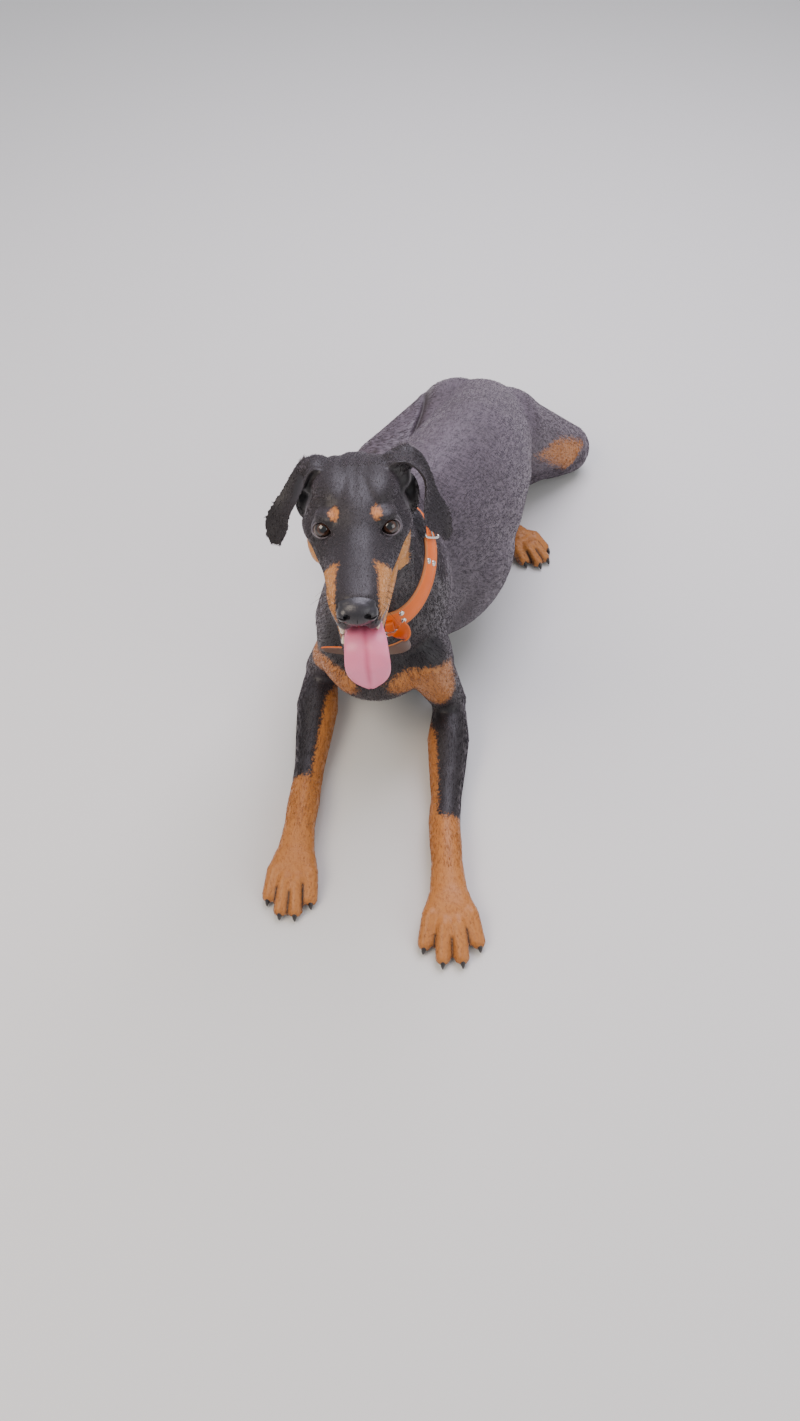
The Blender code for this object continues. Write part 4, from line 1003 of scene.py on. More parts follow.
@dataclass(frozen=True)
class Head:
    """A long wedge of a head with an open mouth, in its own frame, and the hanging ears."""

    skull: tuple = (
        (-0.110, 0.0150, -0.009, -0.036, 0.10, 0.10, 0.75), (-0.106, 0.0205, -0.005, -0.040, 0.10, 0.00, 0.72),
        (-0.094, 0.0245, -0.002, -0.044, 0.14, -0.05, 0.70), (-0.074, 0.0275, 0.001, -0.047, 0.20, -0.08, 0.70),
        (-0.052, 0.0305, 0.004, -0.049, 0.27, -0.06, 0.72), (-0.030, 0.0345, 0.008, -0.050, 0.36, 0.00, 0.76),
        (-0.012, 0.0405, 0.015, -0.052, 0.42, 0.05, 0.82), (0.006, 0.0470, 0.026, -0.056, 0.38, 0.15, 0.88),
        (0.026, 0.0525, 0.036, -0.058, 0.28, 0.25, 0.92), (0.048, 0.0540, 0.041, -0.058, 0.20, 0.30, 0.95),
        (0.070, 0.0510, 0.042, -0.055, 0.15, 0.30, 0.95), (0.090, 0.0440, 0.038, -0.048, 0.15, 0.20, 0.95),
        (0.107, 0.0330, 0.030, -0.038, 0.10, 0.10, 1.0), (0.119, 0.0190, 0.018, -0.024, 0.0, 0.0, 1.0),
    )
    jaw: tuple = (
        (-0.097, 0.0110, -0.076, -0.088), (-0.092, 0.0165, -0.070, -0.091), (-0.078, 0.0200, -0.067, -0.094),
        (-0.052, 0.0240, -0.062, -0.094), (-0.024, 0.0290, -0.057, -0.091), (0.004, 0.0350, -0.050, -0.087),
        (0.034, 0.0400, -0.040, -0.084), (0.060, 0.0400, -0.030, -0.076),
    )
    ear_left: tuple = (
        (0.0340, 0.066, 0.0320, 0.0190, 0.0070, 0.15, 1.0, 0.05),
        (0.0470, 0.068, 0.0390, 0.0190, 0.0046, 0.15, 1.0, 0.05),
        (0.0600, 0.069, 0.0330, 0.0180, 0.0028, 0.15, 1.0, 0.05),
        (0.0700, 0.065, 0.0165, 0.0140, 0.0022, 0.20, 1.0, 0.05),
        (0.0725, 0.058, -0.0020, 0.0195, 0.0020, 0.42, 0.90, 0.0),
        (0.0775, 0.051, -0.0185, 0.0240, 0.0019, 0.58, 0.80, 0.0),
        (0.0860, 0.047, -0.0320, 0.0140, 0.0018, 0.64, 0.76, 0.0),
        (0.0885, 0.0435, -0.0420, 0.0060, 0.0016, 0.66, 0.74, 0.0),
    )
    ear_right: tuple = (
        (-0.0340, 0.064, 0.0320, 0.0170, 0.0070, 0.25, -0.97, 0.0),
        (-0.0450, 0.062, 0.0350, 0.0160, 0.0046, 0.35, -0.93, 0.0),
        (-0.0530, 0.058, 0.0260, 0.0150, 0.0028, 0.52, -0.85, 0.0),
        (-0.0620, 0.054, 0.0120, 0.0145, 0.0022, 0.66, -0.75, 0.0),
        (-0.0735, 0.0505, -0.0035, 0.0145, 0.0020, 0.76, -0.65, 0.0),
        (-0.0795, 0.049, -0.0180, 0.0170, 0.0019, 0.80, -0.60, 0.0),
        (-0.0825, 0.046, -0.0300, 0.0130, 0.0018, 0.80, -0.60, 0.0),
        (-0.0830, 0.044, -0.0395, 0.0060, 0.0016, 0.80, -0.60, 0.0),
    )

    def ears(self) -> list[bpy.types.Object]:
        """Both ears, cupped leaves of skin, in the head's frame."""
        made = []
        for rows in (self.ear_left, self.ear_right):
            rows = smooth_rows(rows, 3)
            made.append(loft("Ear", [section(row[:3], row[3], row[4], cup=-0.005, across=row[5:]) for row in rows],
                             sides=28))
        return made

    def bodies(self) -> list[bpy.types.Object]:
        """Skull, jaw, brows, cheeks, lips, lids and crown, in the head's frame."""
        rows = []
        for place, wide, top, bottom, pinch, keel, square in smooth_rows(self.skull, 2):
            half = (top - bottom) / 2.0
            rows.append(section((0.0, place, (top + bottom) / 2.0), wide, half, half, pinch, keel, square))
        jaw = [section((0.0, place, (top + bottom) / 2.0), wide, (top - bottom) / 2.0, keel=0.25, square=0.8)
               for place, wide, top, bottom in smooth_rows(self.jaw, 2)]
        pieces = [loft("Skull", rows, sides=40), loft("Jaw", jaw, sides=32)]
        pieces += mirrored("Brow", (0.0245, 0.007, 0.0125), (0.0165, 0.0170, 0.0085))
        pieces += mirrored("Cheekbone", (0.0405, 0.022, -0.012), (0.0130, 0.0340, 0.0120), (0.30, 1.0, 0.05))
        pieces += mirrored("Cheek", (0.0385, 0.048, -0.034), (0.0150, 0.0330, 0.0270))
        pieces += mirrored("Crown", (0.0200, 0.054, 0.0200), (0.0240, 0.0480, 0.0220))
        pieces += mirrored("Lip", (0.0215, -0.062, -0.0415), (0.0085, 0.0400, 0.0105), (0.16, 1.0, 0.0))
        pieces += mirrored("Flews", (0.0140, -0.0930, -0.0400), (0.0085, 0.0130, 0.0105), (0.35, 1.0, 0.0))
        pieces.append(mass("Philtrum", (0.0, -0.0945, -0.0360), (0.0110, 0.0110, 0.0100)))
        pieces += mirrored("EarFill", (0.0440, 0.0640, 0.0210), (0.0120, 0.0150, 0.0140), (-0.2, 1.0, 0.0))
        pieces += mirrored("Concha", (0.0530, 0.0740, -0.0040), (0.0110, 0.0130, 0.0240), (-0.4, 1.0, 0.0))
        pieces += mirrored("Lid", (EYE_SPACING / 2.0, EYE_DEPTH + 0.0015, 0.0), (0.0138, 0.0125, 0.0128))
        pieces += mirrored("EarRoot", (0.0390, 0.068, 0.0290), (0.0170, 0.0200, 0.0150), (-0.25, 1.0, 0.1))
        return pieces

    def mouth(self) -> list[bpy.types.Object]:
        """The gape between the lips, the roof of the mouth and the trough of the lower jaw."""
        gape = loft("Gape", [
            section((0.0, -0.130, -0.0580), 0.060, 0.0070, 0.0120, square=0.5),
            section((0.0, -0.100, -0.0575), 0.060, 0.0065, 0.0110, square=0.5),
            section((0.0, -0.050, -0.0550), 0.060, 0.0050, 0.0080, square=0.5),
            section((0.0, JAW_CORNER.y, JAW_CORNER.z - 0.004), 0.060, 0.0015, 0.0020, square=0.5),
        ])
        return [gape, mass("Roof", (0.0, -0.048, -0.046), (0.0180, 0.0540, 0.0110)),
                mass("Trough", (0.0, -0.044, -0.0600), (0.0165, 0.0440, 0.0110), (0.0, 1.0, 0.11))]

    def build(self) -> bpy.types.Object:
        """The whole head with its neck end, in the dog's frame."""
        turn = head_frame()
        fold = mass("Scruff", (-0.0570, -0.1060, 0.3640), (0.0150, 0.0220, 0.0110), (-0.35, 0.75, 0.55))
        neck = gather("Neck", [Trunk().neck_body(), fold])
        neck.data.transform(turn.inverted())
        skull = fuse("Head", self.bodies() + [neck], 0.0018, 5)
        carve(skull, self.mouth())
        whole = gather("Head", [skull] + self.ears())
        whole.data.transform(turn)
        return whole


@dataclass(frozen=True)
class Markings:
    """Where the coat is rust: signed distances in metres, above 0 inside a rust patch."""

    bridge_half: float = 0.0178
    brow_spot: tuple = (0.0206, -0.0026, 0.019)
    cheek_line: tuple = ((-0.110, 0.030), (-0.066, 0.010), (-0.050, -0.012), (-0.034, -0.030),
                         (-0.008, -0.035), (0.014, -0.029), (0.028, -0.017), (0.042, -0.013), (0.062, -0.040))
    chest_spots: tuple = (
        ((-0.042, -0.152, 0.157), (0.045, 0.040, 0.024)), ((-0.026, -0.140, 0.118), (0.026, 0.040, 0.044)),
        ((-0.150, -0.136, 0.150), (0.034, 0.045, 0.026)), ((-0.172, -0.095, 0.120), (0.024, 0.040, 0.030)),
    )
    shank_patch: tuple = ((0.108, 0.250, 0.060), (0.200, 0.380, 0.060), 0.062)
    under_tail: tuple = ((0.055, 0.418, 0.125), (0.030, 0.030, 0.034))
    foreleg_borders: tuple = ((-0.272, 0.0045), (-0.212, 0.0000))

    @staticmethod
    def blob(points: np.ndarray, place: tuple, half: tuple) -> np.ndarray:
        """Distance inside a rounded patch, about right near its border."""
        reach = np.linalg.norm((points - np.array(place)) / np.array(half), axis=1)
        return (1.0 - reach) * min(half)

    @staticmethod
    def rod(points: np.ndarray, start: tuple, end: tuple, radius: float) -> np.ndarray:
        """Distance inside a round-ended rod."""
        start, end = np.array(start), np.array(end)
        span = end - start
        share = np.clip(((points - start) @ span) / (span @ span), 0.0, 1.0)
        return radius - np.linalg.norm(points - start - share[:, None] * span, axis=1)

    def head(self, local: np.ndarray) -> np.ndarray:
        """Rust on the muzzle's sides, cheeks, jaw, throat and brows, in the head's frame."""
        x, y, z = local.T
        line = np.interp(y, [row[0] for row in self.cheek_line], [row[1] for row in self.cheek_line])
        side = np.minimum(line - z, np.abs(x) - self.bridge_half - 0.10 * np.clip(-0.060 - y, 0.0, 0.02))
        under = np.where(z < -0.050, -0.040 - z, -1.0)
        rust = np.minimum(np.maximum(side, under), 0.058 - y)
        rust = rust * np.where((np.abs(x) < 0.030) & (z > -0.05), np.interp(y, (-0.085, -0.060), (1.0, 0.4)), 1.0)
        for side_sign in (1.0, -1.0):
            px, py, pz = self.brow_spot
            rust = np.maximum(rust, self.blob(local, (side_sign * px, py, pz), (0.0050, 0.0080, 0.0058)))
        return np.where((np.abs(x) > 0.056) & (z > -0.060), -0.02, rust)

    def body(self, points: np.ndarray) -> np.ndarray:
        """Rust on chest, legs, feet and under the tail, in the dog's frame."""
        rust = np.full(len(points), -1.0)
        for place, half in self.chest_spots:
            rust = np.maximum(rust, self.blob(points, place, half))
        x, y, z = points.T
        for leg, (border, split) in zip(FORELEGS, self.foreleg_borders):
            near = self.rod(points, leg.elbow, leg.toe, 0.062)
            axis = np.interp(y, [leg.toe.y, leg.wrist.y, leg.elbow.y], [leg.toe.x, leg.wrist.x, leg.elbow.x])
            inward = (axis - x) * leg.side.value
            stripe = inward - split + 0.45 * (0.024 - z) - 0.5 * np.clip(y - leg.elbow.y + 0.060, 0.0, 0.2)
            rust = np.maximum(rust, np.minimum(near, np.maximum(stripe, (border - y) * 0.8)))
        for leg in HINDLEGS:
            heel = leg.hock + leg.course * 0.018
            rust = np.maximum(rust, self.rod(points, (heel.x, heel.y, 0.018), leg.toe, 0.030))
        start, end, radius = self.shank_patch
        loin = np.interp(y, (0.165, 0.245, 0.310, 0.360, 0.395), (0.108, 0.127, 0.131, 0.125, 0.105))
        inner = np.minimum(0.746 * x - 0.666 * y + 0.111, z - 0.034 - 1.1 * (x - 0.194))
        inner = np.minimum(np.minimum(inner, np.maximum(x - loin, 0.086 - z)), self.rod(points, start, end, radius))
        rust = np.where((x < 0.105) & (z > 0.06) & (y > 0.1) & (y < 0.40), -1.0, np.maximum(rust, inner))
        return np.maximum(rust, self.blob(points, *self.under_tail))

    def rust(self, points: np.ndarray) -> np.ndarray:
        """The whole dog's rust distance, in the dog's frame."""
        above = neck_height(points)
        local = in_head(points)
        on_head = ((above > -0.004) | (np.abs(local[:, 0]) > 0.066)) & (local[:, 2] > -0.075) & (points[:, 1] < 0.0)
        return np.clip(np.where(on_head, self.head(local) * 2.2, self.body(points)), -0.03, 0.03)

    def pale(self, points: np.ndarray) -> np.ndarray:
        """How pale the rust is: most on the cheeks and muzzle."""
        x, y, z = in_head(points).T
        near = ramp(0.10 - np.abs(y + 0.02), 0.0, 0.03) * ramp(0.075 - np.abs(x), 0.0, 0.02)
        return 0.55 * near * ramp(z, -0.14, -0.08) * (1.0 - ramp(z, -0.02, 0.004))

    def bare(self, points: np.ndarray) -> np.ndarray:
        """Black bare skin: lips along the gape, lid rims and the pads underneath, and painted shade under each ear's
        fold.
        """
        x, y, z = in_head(points).T
        lips = ramp(self.gape_reach(y) + 0.0052 - np.abs(z + 0.0552), 0.0, 0.0022)
        lips = lips * ramp(-0.004 - y, 0.0, 0.008) * (np.abs(x) < 0.05)
        rims = np.zeros(len(points))
        for side in Side:
            reach = np.linalg.norm(in_head(points) - np.array(eye_place(side)), axis=1)
            rims = np.maximum(rims, 1.0 - ramp(reach, EYE_RADIUS + 0.0012, EYE_RADIUS + 0.0030))
        # Painted shade: the space under each ear's fold gets the bare skin's black.
        for side in Side:
            rims = np.maximum(rims, ramp(self.blob(in_head(points), (side.value * 0.051, 0.056, 0.008),
                                                   (0.012, 0.019, 0.022)), -0.001, 0.002))
        pads = 1.0 - ramp(points[:, 2], 0.0030, 0.0055)
        front = self.paw_reach(points)
        return np.maximum(np.maximum(lips, rims), pads * front)

    def gum(self, points: np.ndarray) -> np.ndarray:
        """The mouth's inside."""
        x, y, z = in_head(points).T
        wide = np.interp(y, [-0.11, -0.074, -0.03], [0.012, 0.0205, 0.0270])
        inside = ramp(self.gape_reach(y) + 0.012 - np.abs(z + 0.0552), 0.0, 0.003)
        return inside * ramp(wide - np.abs(x), 0.0, 0.003) * ramp(y, -0.099, -0.094) * ramp(-0.002 - y, 0.0, 0.008)

    @staticmethod
    def gape_reach(y: np.ndarray) -> np.ndarray:
        """Half the mouth's opening at each place along the head."""
        return np.interp(y, [-0.100, -0.050, JAW_CORNER.y], [0.0120, 0.0075, 0.0018])

    @staticmethod
    def paw_reach(points: np.ndarray) -> np.ndarray:
        """1 on the four paws."""
        found = np.zeros(len(points))
        for leg in (*FORELEGS, *HINDLEGS):
            found = np.maximum(found, Markings.rod(points, leg.heel, leg.toe, 0.045) > 0.0)
        return found


@dataclass(frozen=True)
class Skin:
    """The one skin over all flesh, and the small forms that its bodies don't give."""

    depth: float = 0.0007
    furrow: float = 0.0007
    crease: float = 0.0005
    cleft: float = 0.0022
    fold: float = 0.0085
    fold_width: float = 0.0048
    fold_way: tuple = (0.453, -0.101, 0.886)
    flank: tuple = ((-0.023, 0.385, 0.196), (-0.027, 0.3600, 0.2005), (-0.0315, 0.3300, 0.1995),
                    (-0.0384, 0.3039, 0.1957), (-0.050, 0.275, 0.184), (-0.066, 0.235, 0.155))

    def fine_share(self, points: np.ndarray) -> np.ndarray:
        """1 where the mesh may be thinned, 0 on the head and paws."""
        above = neck_height(points)
        head = (above > -0.005) & (points[:, 1] < 0.0)
        return np.where(head | (Markings.paw_reach(points) > 0.0) | (self.from_fold(points) < 0.014), 0.0, 1.0)

    def from_fold(self, points: np.ndarray) -> np.ndarray:
        """How far beside the fold between thigh and flank points are, however deep they lie in it."""
        near = np.full(len(points), 1.0)
        inward = np.array(self.fold_way)
        flat = points - (points @ inward)[:, None] * inward
        for start, end in zip(np.array(self.flank), np.array(self.flank)[1:]):
            close = -Markings.rod(points, start, end, 0.0) < 0.030
            beside = -Markings.rod(flat, start - start @ inward * inward, end - end @ inward * inward, 0.0)
            near = np.minimum(near, np.where(close, beside, 1.0))
        return near

    def mould(self, points: np.ndarray) -> np.ndarray:
        """Move points for the forehead's furrow and ridges, the creases over the lids, the clefts between the toes and
        the fold between thigh and flank.
        """
        local = in_head(points)
        x, y, z = local.T
        shift = np.zeros_like(local)
        top = ramp(z, 0.0, 0.015)
        shift[:, 2] -= self.furrow * np.exp(-(x / 0.0035) ** 2) * ramp(y, 0.0, 0.02) * ramp(0.085 - y, 0.0, 0.02) * top
        ridge = 0.008 + 0.25 * np.clip(0.05 - y, 0.0, 0.05)
        shift[:, 2] += 0.0004 * np.exp(-((np.abs(x) - ridge) / 0.0035) ** 2) * ramp(y, 0.005, 0.03) * top
        for side in Side:
            offset = local - np.array(eye_place(side))
            reach = np.linalg.norm(offset * np.array((0.86, 1.0, 1.0)), axis=1)
            fold = np.exp(-((reach - 0.0168) / 0.0016) ** 2) * ramp(-offset[:, 1], -0.012, 0.0)
            shift[:, 1] += self.crease * fold * (0.35 + 0.65 * ramp(offset[:, 2], -0.004, 0.006))
            swell = np.exp(-((reach - 0.0142) / 0.0016) ** 2) * ramp(-offset[:, 1], -0.010, 0.0)
            shift[:, 1] -= 0.0003 * swell
        turn = np.array(head_frame().to_3x3())
        points = points + shift @ turn.T
        points[:, 2] -= self.cleft * self.clefts(points)
        sunk = self.fold * np.exp(-(self.from_fold(points) / self.fold_width) ** 2)
        return points - sunk[:, None] * np.array(self.fold_way)

    @staticmethod
    def clefts(points: np.ndarray) -> np.ndarray:
        """1 in the clefts between the toes and 0 beyond about 2 mm from them, only above the pads."""
        found = np.zeros(len(points))
        for leg in (*FORELEGS, *HINDLEGS):
            toes = leg.paw().toes()
            for (root, course, length), (other, turned, reach) in zip(toes, toes[1:]):
                start = (root + other) / 2.0 + (course + turned) * length * 0.35
                end = (root + course * length + other + turned * reach) / 2.0 + (course + turned) * 0.004
                flat = points * (1.0, 1.0, 0.0)
                near = -Markings.rod(flat, (start.x, start.y, 0.0), (end.x, end.y, 0.0), 0.0)
                found = np.maximum(found, np.exp(-(near / 0.0017) ** 2))
        return found * ramp(points[:, 2], 0.004, 0.008)

    def build(self) -> bpy.types.Object:
        """Fuse, thin, mould and pierce the skin.

        Returns:
            The skin, in the dog's frame, with its markings stored on its points.
        """
        rough = Trunk().bodies()
        fine = [Head().build()]
        for leg in (*FORELEGS, *HINDLEGS):
            rough += leg.upper_bodies()
            fine += [fuse("Foot", leg.fine_bodies(), 0.0017, 3)]
        body = fuse("Body", rough, 0.0042, 15)
        skin = fuse("dog_skin", [body] + fine, SKIN_VOXEL, 3)
        keep_largest(skin)
        thin = skin.vertex_groups.new(name="thin")
        weights = self.fine_share(points_of(skin))
        thin.add(np.flatnonzero(weights > 0.5).tolist(), 1.0, "REPLACE")
        now = sum(len(face.vertices) - 2 for face in skin.data.polygons)
        if now > SKIN_TRIANGLES:
            fewer = skin.modifiers.new("Fewer", "DECIMATE")
            fewer.ratio = SKIN_TRIANGLES / now
            fewer.vertex_group = "thin"
            apply_modifiers(skin)
        skin.vertex_groups.clear()
        inward = skin.modifiers.new("Depth", "DISPLACE")
        inward.mid_level = 0.0
        inward.strength = -self.depth
        apply_modifiers(skin)
        points = self.mould(points_of(skin))
        points[:, 2] = np.maximum(points[:, 2], 0.0003)
        move_points(skin, points)
        carve(skin, [cutter for side in Side for cutter in Eye(side).opening()])
        keep_largest(skin)
        skin.data.shade_smooth()
        self.mark(skin)
        return skin

    def mark(self, skin: bpy.types.Object) -> None:
        """Store the markings on the skin's points."""
        points = points_of(skin)
        marks = Markings()
        store(skin, "rust", marks.rust(points))
        store(skin, "pale", marks.pale(points))
        store(skin, "bare", marks.bare(points))
        store(skin, "gum", marks.gum(points))
        # The cleft mask is painted shade: dark in the clefts between the toes and along the fold between thigh and
        # flank.
        store(skin, "cleft", np.maximum(self.clefts(points), 0.8 * (1.0 - ramp(self.from_fold(points), 0.001, 0.0055))))


@dataclass(frozen=True)
class Eye:
    """One eyeball with its cornea and iris, and the rims of its lids."""

    side: Side
    half_wide: float = 0.0093
    rise: float = 0.0085
    drop: float = 0.0068
    rim: float = 0.00075

    def look(self) -> Vector:
        """The direction in which the lids open, in the head's frame."""
        return Vector((self.side.value * 0.28, -1.0, 0.26)).normalized()

    def axes(self) -> tuple[Vector, Vector]:
        """The lids' outward and upward directions, in the head's frame."""
        upward = Vector((-self.side.value * 0.16, 0.0, 1.0))
        outward = upward.cross(self.look()).normalized() * self.side.value
        return outward, self.look().cross(outward) * self.side.value

    def almond(self, turn: float, grow: float = 1.0) -> tuple[float, float]:
        """The lids' outline: how far out and up it is at an angle; its inner corner is drawn to a point."""
        out, up = math.cos(turn), math.sin(turn)
        corner = max(-out, 0.0) ** 3
        height = (self.rise if up > 0.0 else self.drop) * (1.0 - 0.25 * corner)
        return out * (self.half_wide + 0.0022 * corner) * grow, up * height * grow

    def opening(self) -> list[bpy.types.Object]:
        """The helpers that cut the socket and open the lids, in the dog's frame."""
        place = eye_place(self.side)
        outward, upward = self.axes()
        bm = bmesh.new()
        rings = []
        for distance, grow in ((0.003, 0.55), (0.0098, 1.0), (0.0185, 1.55)):
            ring = bmesh.ops.create_circle(bm, segments=40, radius=1.0)["verts"]
            for vert in ring:
                out, up = self.almond(math.atan2(vert.co.y, vert.co.x), grow)
                vert.co = place + self.look() * distance + outward * out + upward * up
            rings.append(list({edge for vert in ring for edge in vert.link_edges}))
        for first, second in zip(rings, rings[1:]):
            bmesh.ops.bridge_loops(bm, edges=first + second)
        bmesh.ops.holes_fill(bm, edges=rings[0] + rings[-1], sides=0)
        bmesh.ops.recalc_face_normals(bm, faces=bm.faces)
        cone = add_object("Opening", bm)
        socket = mass("Socket", place, (EYE_RADIUS + 0.0003,) * 3, rounds=30)
        for cutter in (cone, socket):
            cutter.data.transform(head_frame())
        return [cone, socket]

    def rims(self) -> bpy.types.Object:
        """The bare margin of the lids, a thin roll that lies on the eyeball."""
        place = eye_place(self.side)
        outward, upward = self.axes()
        spots = []
        for step in range(72):
            out, up = self.almond(math.tau * step / 72)
            depth = math.sqrt(max((EYE_RADIUS + 0.0009) ** 2 - out ** 2 - up ** 2, 0.0))
            spots.append(head_frame() @ (place + self.look() * depth + outward * out + upward * up))
        return tube("Rim", spots, self.rim, 8)

    def ball(self, camera: Vector) -> bpy.types.Object:
        """The eyeball, turned to look at the camera."""
        centre = head_frame() @ eye_place(self.side)
        gaze = (camera - centre).normalized()
        gaze = (gaze * 0.75 + (head_frame().to_3x3() @ self.look()) * 0.25).normalized()
        bm = bmesh.new()
        bmesh.ops.create_uvsphere(bm, u_segments=64, v_segments=48, radius=EYE_RADIUS - 0.0001)
        turn = UP.rotation_difference(gaze).to_matrix().to_4x4()
        rings, spokes = [], []
        for vert in bm.verts:
            reach = math.acos(max(-1.0, min(1.0, vert.co.z / EYE_RADIUS * 1.0089)))
            rings.append(reach / math.radians(62.0))
            spokes.append(abs(math.atan2(vert.co.y, vert.co.x)) * 9.0)
            bulge = max(0.0, 1.0 - (reach / math.radians(40.0)) ** 2)
            vert.co *= 1.0 + 0.055 * bulge
        bmesh.ops.transform(bm, matrix=Matrix.Translation(centre) @ turn, verts=bm.verts)
        made = add_object(f"eyeball_{self.side.word}", bm)
        store(made, "ring", np.array(rings))
        store(made, "spoke", np.array(spokes))
        return made


def tube(name: str, spots: list[Vector], radius: float, sides: int, closed: bool = True) -> bpy.types.Object:
    """A round rod swept along a loop or a line of points.

    Args:
        name: The object's name.
        spots: The points of its middle line.
        radius: Its half thickness.
        sides: Points round it.
        closed: Whether its ends meet.

    Returns:
        The rod as an object.
    """
    bm = bmesh.new()
    rings = []
    count = len(spots)
    centre = sum(spots, Vector()) / count
    for index, spot in enumerate(spots):
        ahead = spots[(index + 1) % count] if closed else spots[min(index + 1, count - 1)]
        behind = spots[index - 1] if closed else spots[max(index - 1, 0)]
        course = (ahead - behind).normalized()
        beside = (spot - centre - course * (spot - centre).dot(course)).normalized()
        turned = Matrix((beside, course.cross(beside), course)).transposed().to_4x4()
        turned.translation = spot
        ring = bmesh.ops.create_circle(bm, segments=sides, radius=radius, matrix=turned)["verts"]
        rings.append(list({edge for vert in ring for edge in vert.link_edges}))
    pairs = list(zip(rings, rings[1:] + rings[:1])) if closed else list(zip(rings, rings[1:]))
    for first, second in pairs:
        bmesh.ops.bridge_loops(bm, edges=first + second)
    if not closed:
        bmesh.ops.holes_fill(bm, edges=rings[0] + rings[-1], sides=0)
    bmesh.ops.recalc_face_normals(bm, faces=bm.faces)
    return add_object(name, bm)


@dataclass(frozen=True)
class Nose:
    """The nose pad: a broad rounded block with winged nostrils and a parting down its front."""

    def build(self) -> bpy.types.Object:
        """The nose, in the dog's frame."""
        pieces = [mass("Pad", (0.0, -0.1075, -0.0190), (0.0178, 0.0118, 0.0136)),
                  mass("Top", (0.0, -0.1035, -0.0130), (0.0175, 0.0118, 0.0088))]
        pieces += mirrored("Wing", (0.0125, -0.1100, -0.0195), (0.0062, 0.0085, 0.0075), (0.35, 1.0, 0.0))
        pad = fuse("nose", pieces, 0.0008, 5)
        holes = mirrored("Nostril", (0.0090, -0.1195, -0.0178), (0.0032, 0.0070, 0.0028), (0.30, 1.0, -0.2))
        holes += mirrored("Slit", (0.0142, -0.1160, -0.0205), (0.0050, 0.0050, 0.0011), (0.15, 1.0, 0.0))
        holes.append(mass("Parting", (0.0, -0.1210, -0.0270), (0.0006, 0.0035, 0.0090)))
        carve(pad, holes)
        back = bmesh.new()
        back.from_mesh(pad.data)
        cut = bmesh.ops.bisect_plane(back, geom=back.verts[:] + back.edges[:] + back.faces[:], dist=1e-6,
                                     plane_co=(0.0, -0.1000, 0.0), plane_no=(0.0, 1.0, 0.0), clear_outer=True)
        rim = [item for item in cut["geom_cut"] if isinstance(item, bmesh.types.BMEdge)]
        bmesh.ops.holes_fill(back, edges=rim, sides=0)
        lowered = head_frame() @ Matrix.Translation((0.0, -0.0012, -0.0028))
        bmesh.ops.transform(back, matrix=lowered, verts=back.verts)
        back.to_mesh(pad.data)
        back.free()
        pad.data.shade_smooth()
        return pad


@dataclass(frozen=True)
class Mouth:
    """Tongue and teeth, in the head's frame until they are built."""

    tongue_rows: tuple = (
        (0.0, 0.000, -0.0545, 0.0100, 0.0030), (0.0005, -0.020, -0.0570, 0.0130, 0.0034),
        (0.0020, -0.050, -0.0590, 0.0150, 0.0034), (0.0040, -0.080, -0.0575, 0.0178, 0.0032),
        (0.0050, -0.098, -0.0570, 0.0196, 0.0030), (0.0056, -0.1100, -0.0655, 0.0206, 0.0028),
        (0.0060, -0.1130, -0.0800, 0.0214, 0.0027), (0.0064, -0.1090, -0.0935, 0.0206, 0.0026),
        (0.0068, -0.1045, -0.1045, 0.0172, 0.0024), (0.0071, -0.1020, -0.1115, 0.0122, 0.0021),
        (0.0073, -0.1005, -0.1160, 0.0060, 0.0016),
    )

    def tongue(self) -> bpy.types.Object:
        """The tongue, hanging over the lip with a furrow down its middle."""
        rows = smooth_rows(self.tongue_rows, 4)
        made = loft("tongue_flesh", [section(row[:3], row[3], row[4], square=0.85, cup=-0.002) for row in rows],
                    sides=40, across=(-1.0, 0.0, 0.0), groove=0.0009)
        points = points_of(made)
        lean = np.interp(points[:, 1], [-0.111, 0.0], [0.0065, 0.0])
        middle = np.exp(-((points[:, 0] - lean) / 0.0013) ** 2)
        tip = ramp(-points[:, 2], 0.104, 0.122)
        # Painted shade along the furrow, and a darker tip.
        store(made, "middle", np.maximum(middle * 0.8, tip * 0.6))
        made.data.transform(head_frame())
        return made

    def teeth(self) -> bpy.types.Object:
        """Canines, incisors and the side teeth of both jaws."""
        made = []
        for out in (1.0, -1.0):
            made.append(self.tooth((out * 0.0160, -0.086, -0.0710), 0.0080, 0.0020))
            made.append(self.tooth((out * 0.0170, -0.090, -0.0450), -0.0110, 0.0027))
            for step in range(3):
                made.append(self.tooth((out * (0.0025 + step * 0.0040), -0.0910 + step * 0.0012, -0.0440),
                                       -0.0060, 0.0019))
                made.append(self.tooth((out * (0.0020 + step * 0.0036), -0.0925 + step * 0.0010, -0.0710),
                                       0.0060, 0.0017))
            for step in range(5):
                made.append(self.tooth((out * (0.0190 + step * 0.0012), -0.076 + step * 0.0105, -0.0460),
                                       -0.0060 - step * 0.0006, 0.0030))
                made.append(self.tooth((out * (0.0165 + step * 0.0016), -0.073 + step * 0.0105, -0.0680
                                        + step * 0.0012), 0.0055, 0.0027))
        teeth = gather("teeth", made)
        teeth.data.transform(head_frame())
        return teeth

    @staticmethod
    def tooth(root: tuple, height: float, size: float) -> bpy.types.Object:
        """One tapered tooth that curves a little back."""
        rows = []
        for share in (-0.1, 0.15, 0.4, 0.7, 0.9, 1.0):
            wide = size * (1.0 - max(share, 0.0) ** 1.7) + 0.0003
            rows.append(section((root[0], root[1] - 0.0025 * share * (1.0 - share) * 2.0, root[2] + height * share),
                                wide, wide))
        return loft("Tooth", rows, upright=(0.0, 1.0, 0.0), sides=10)


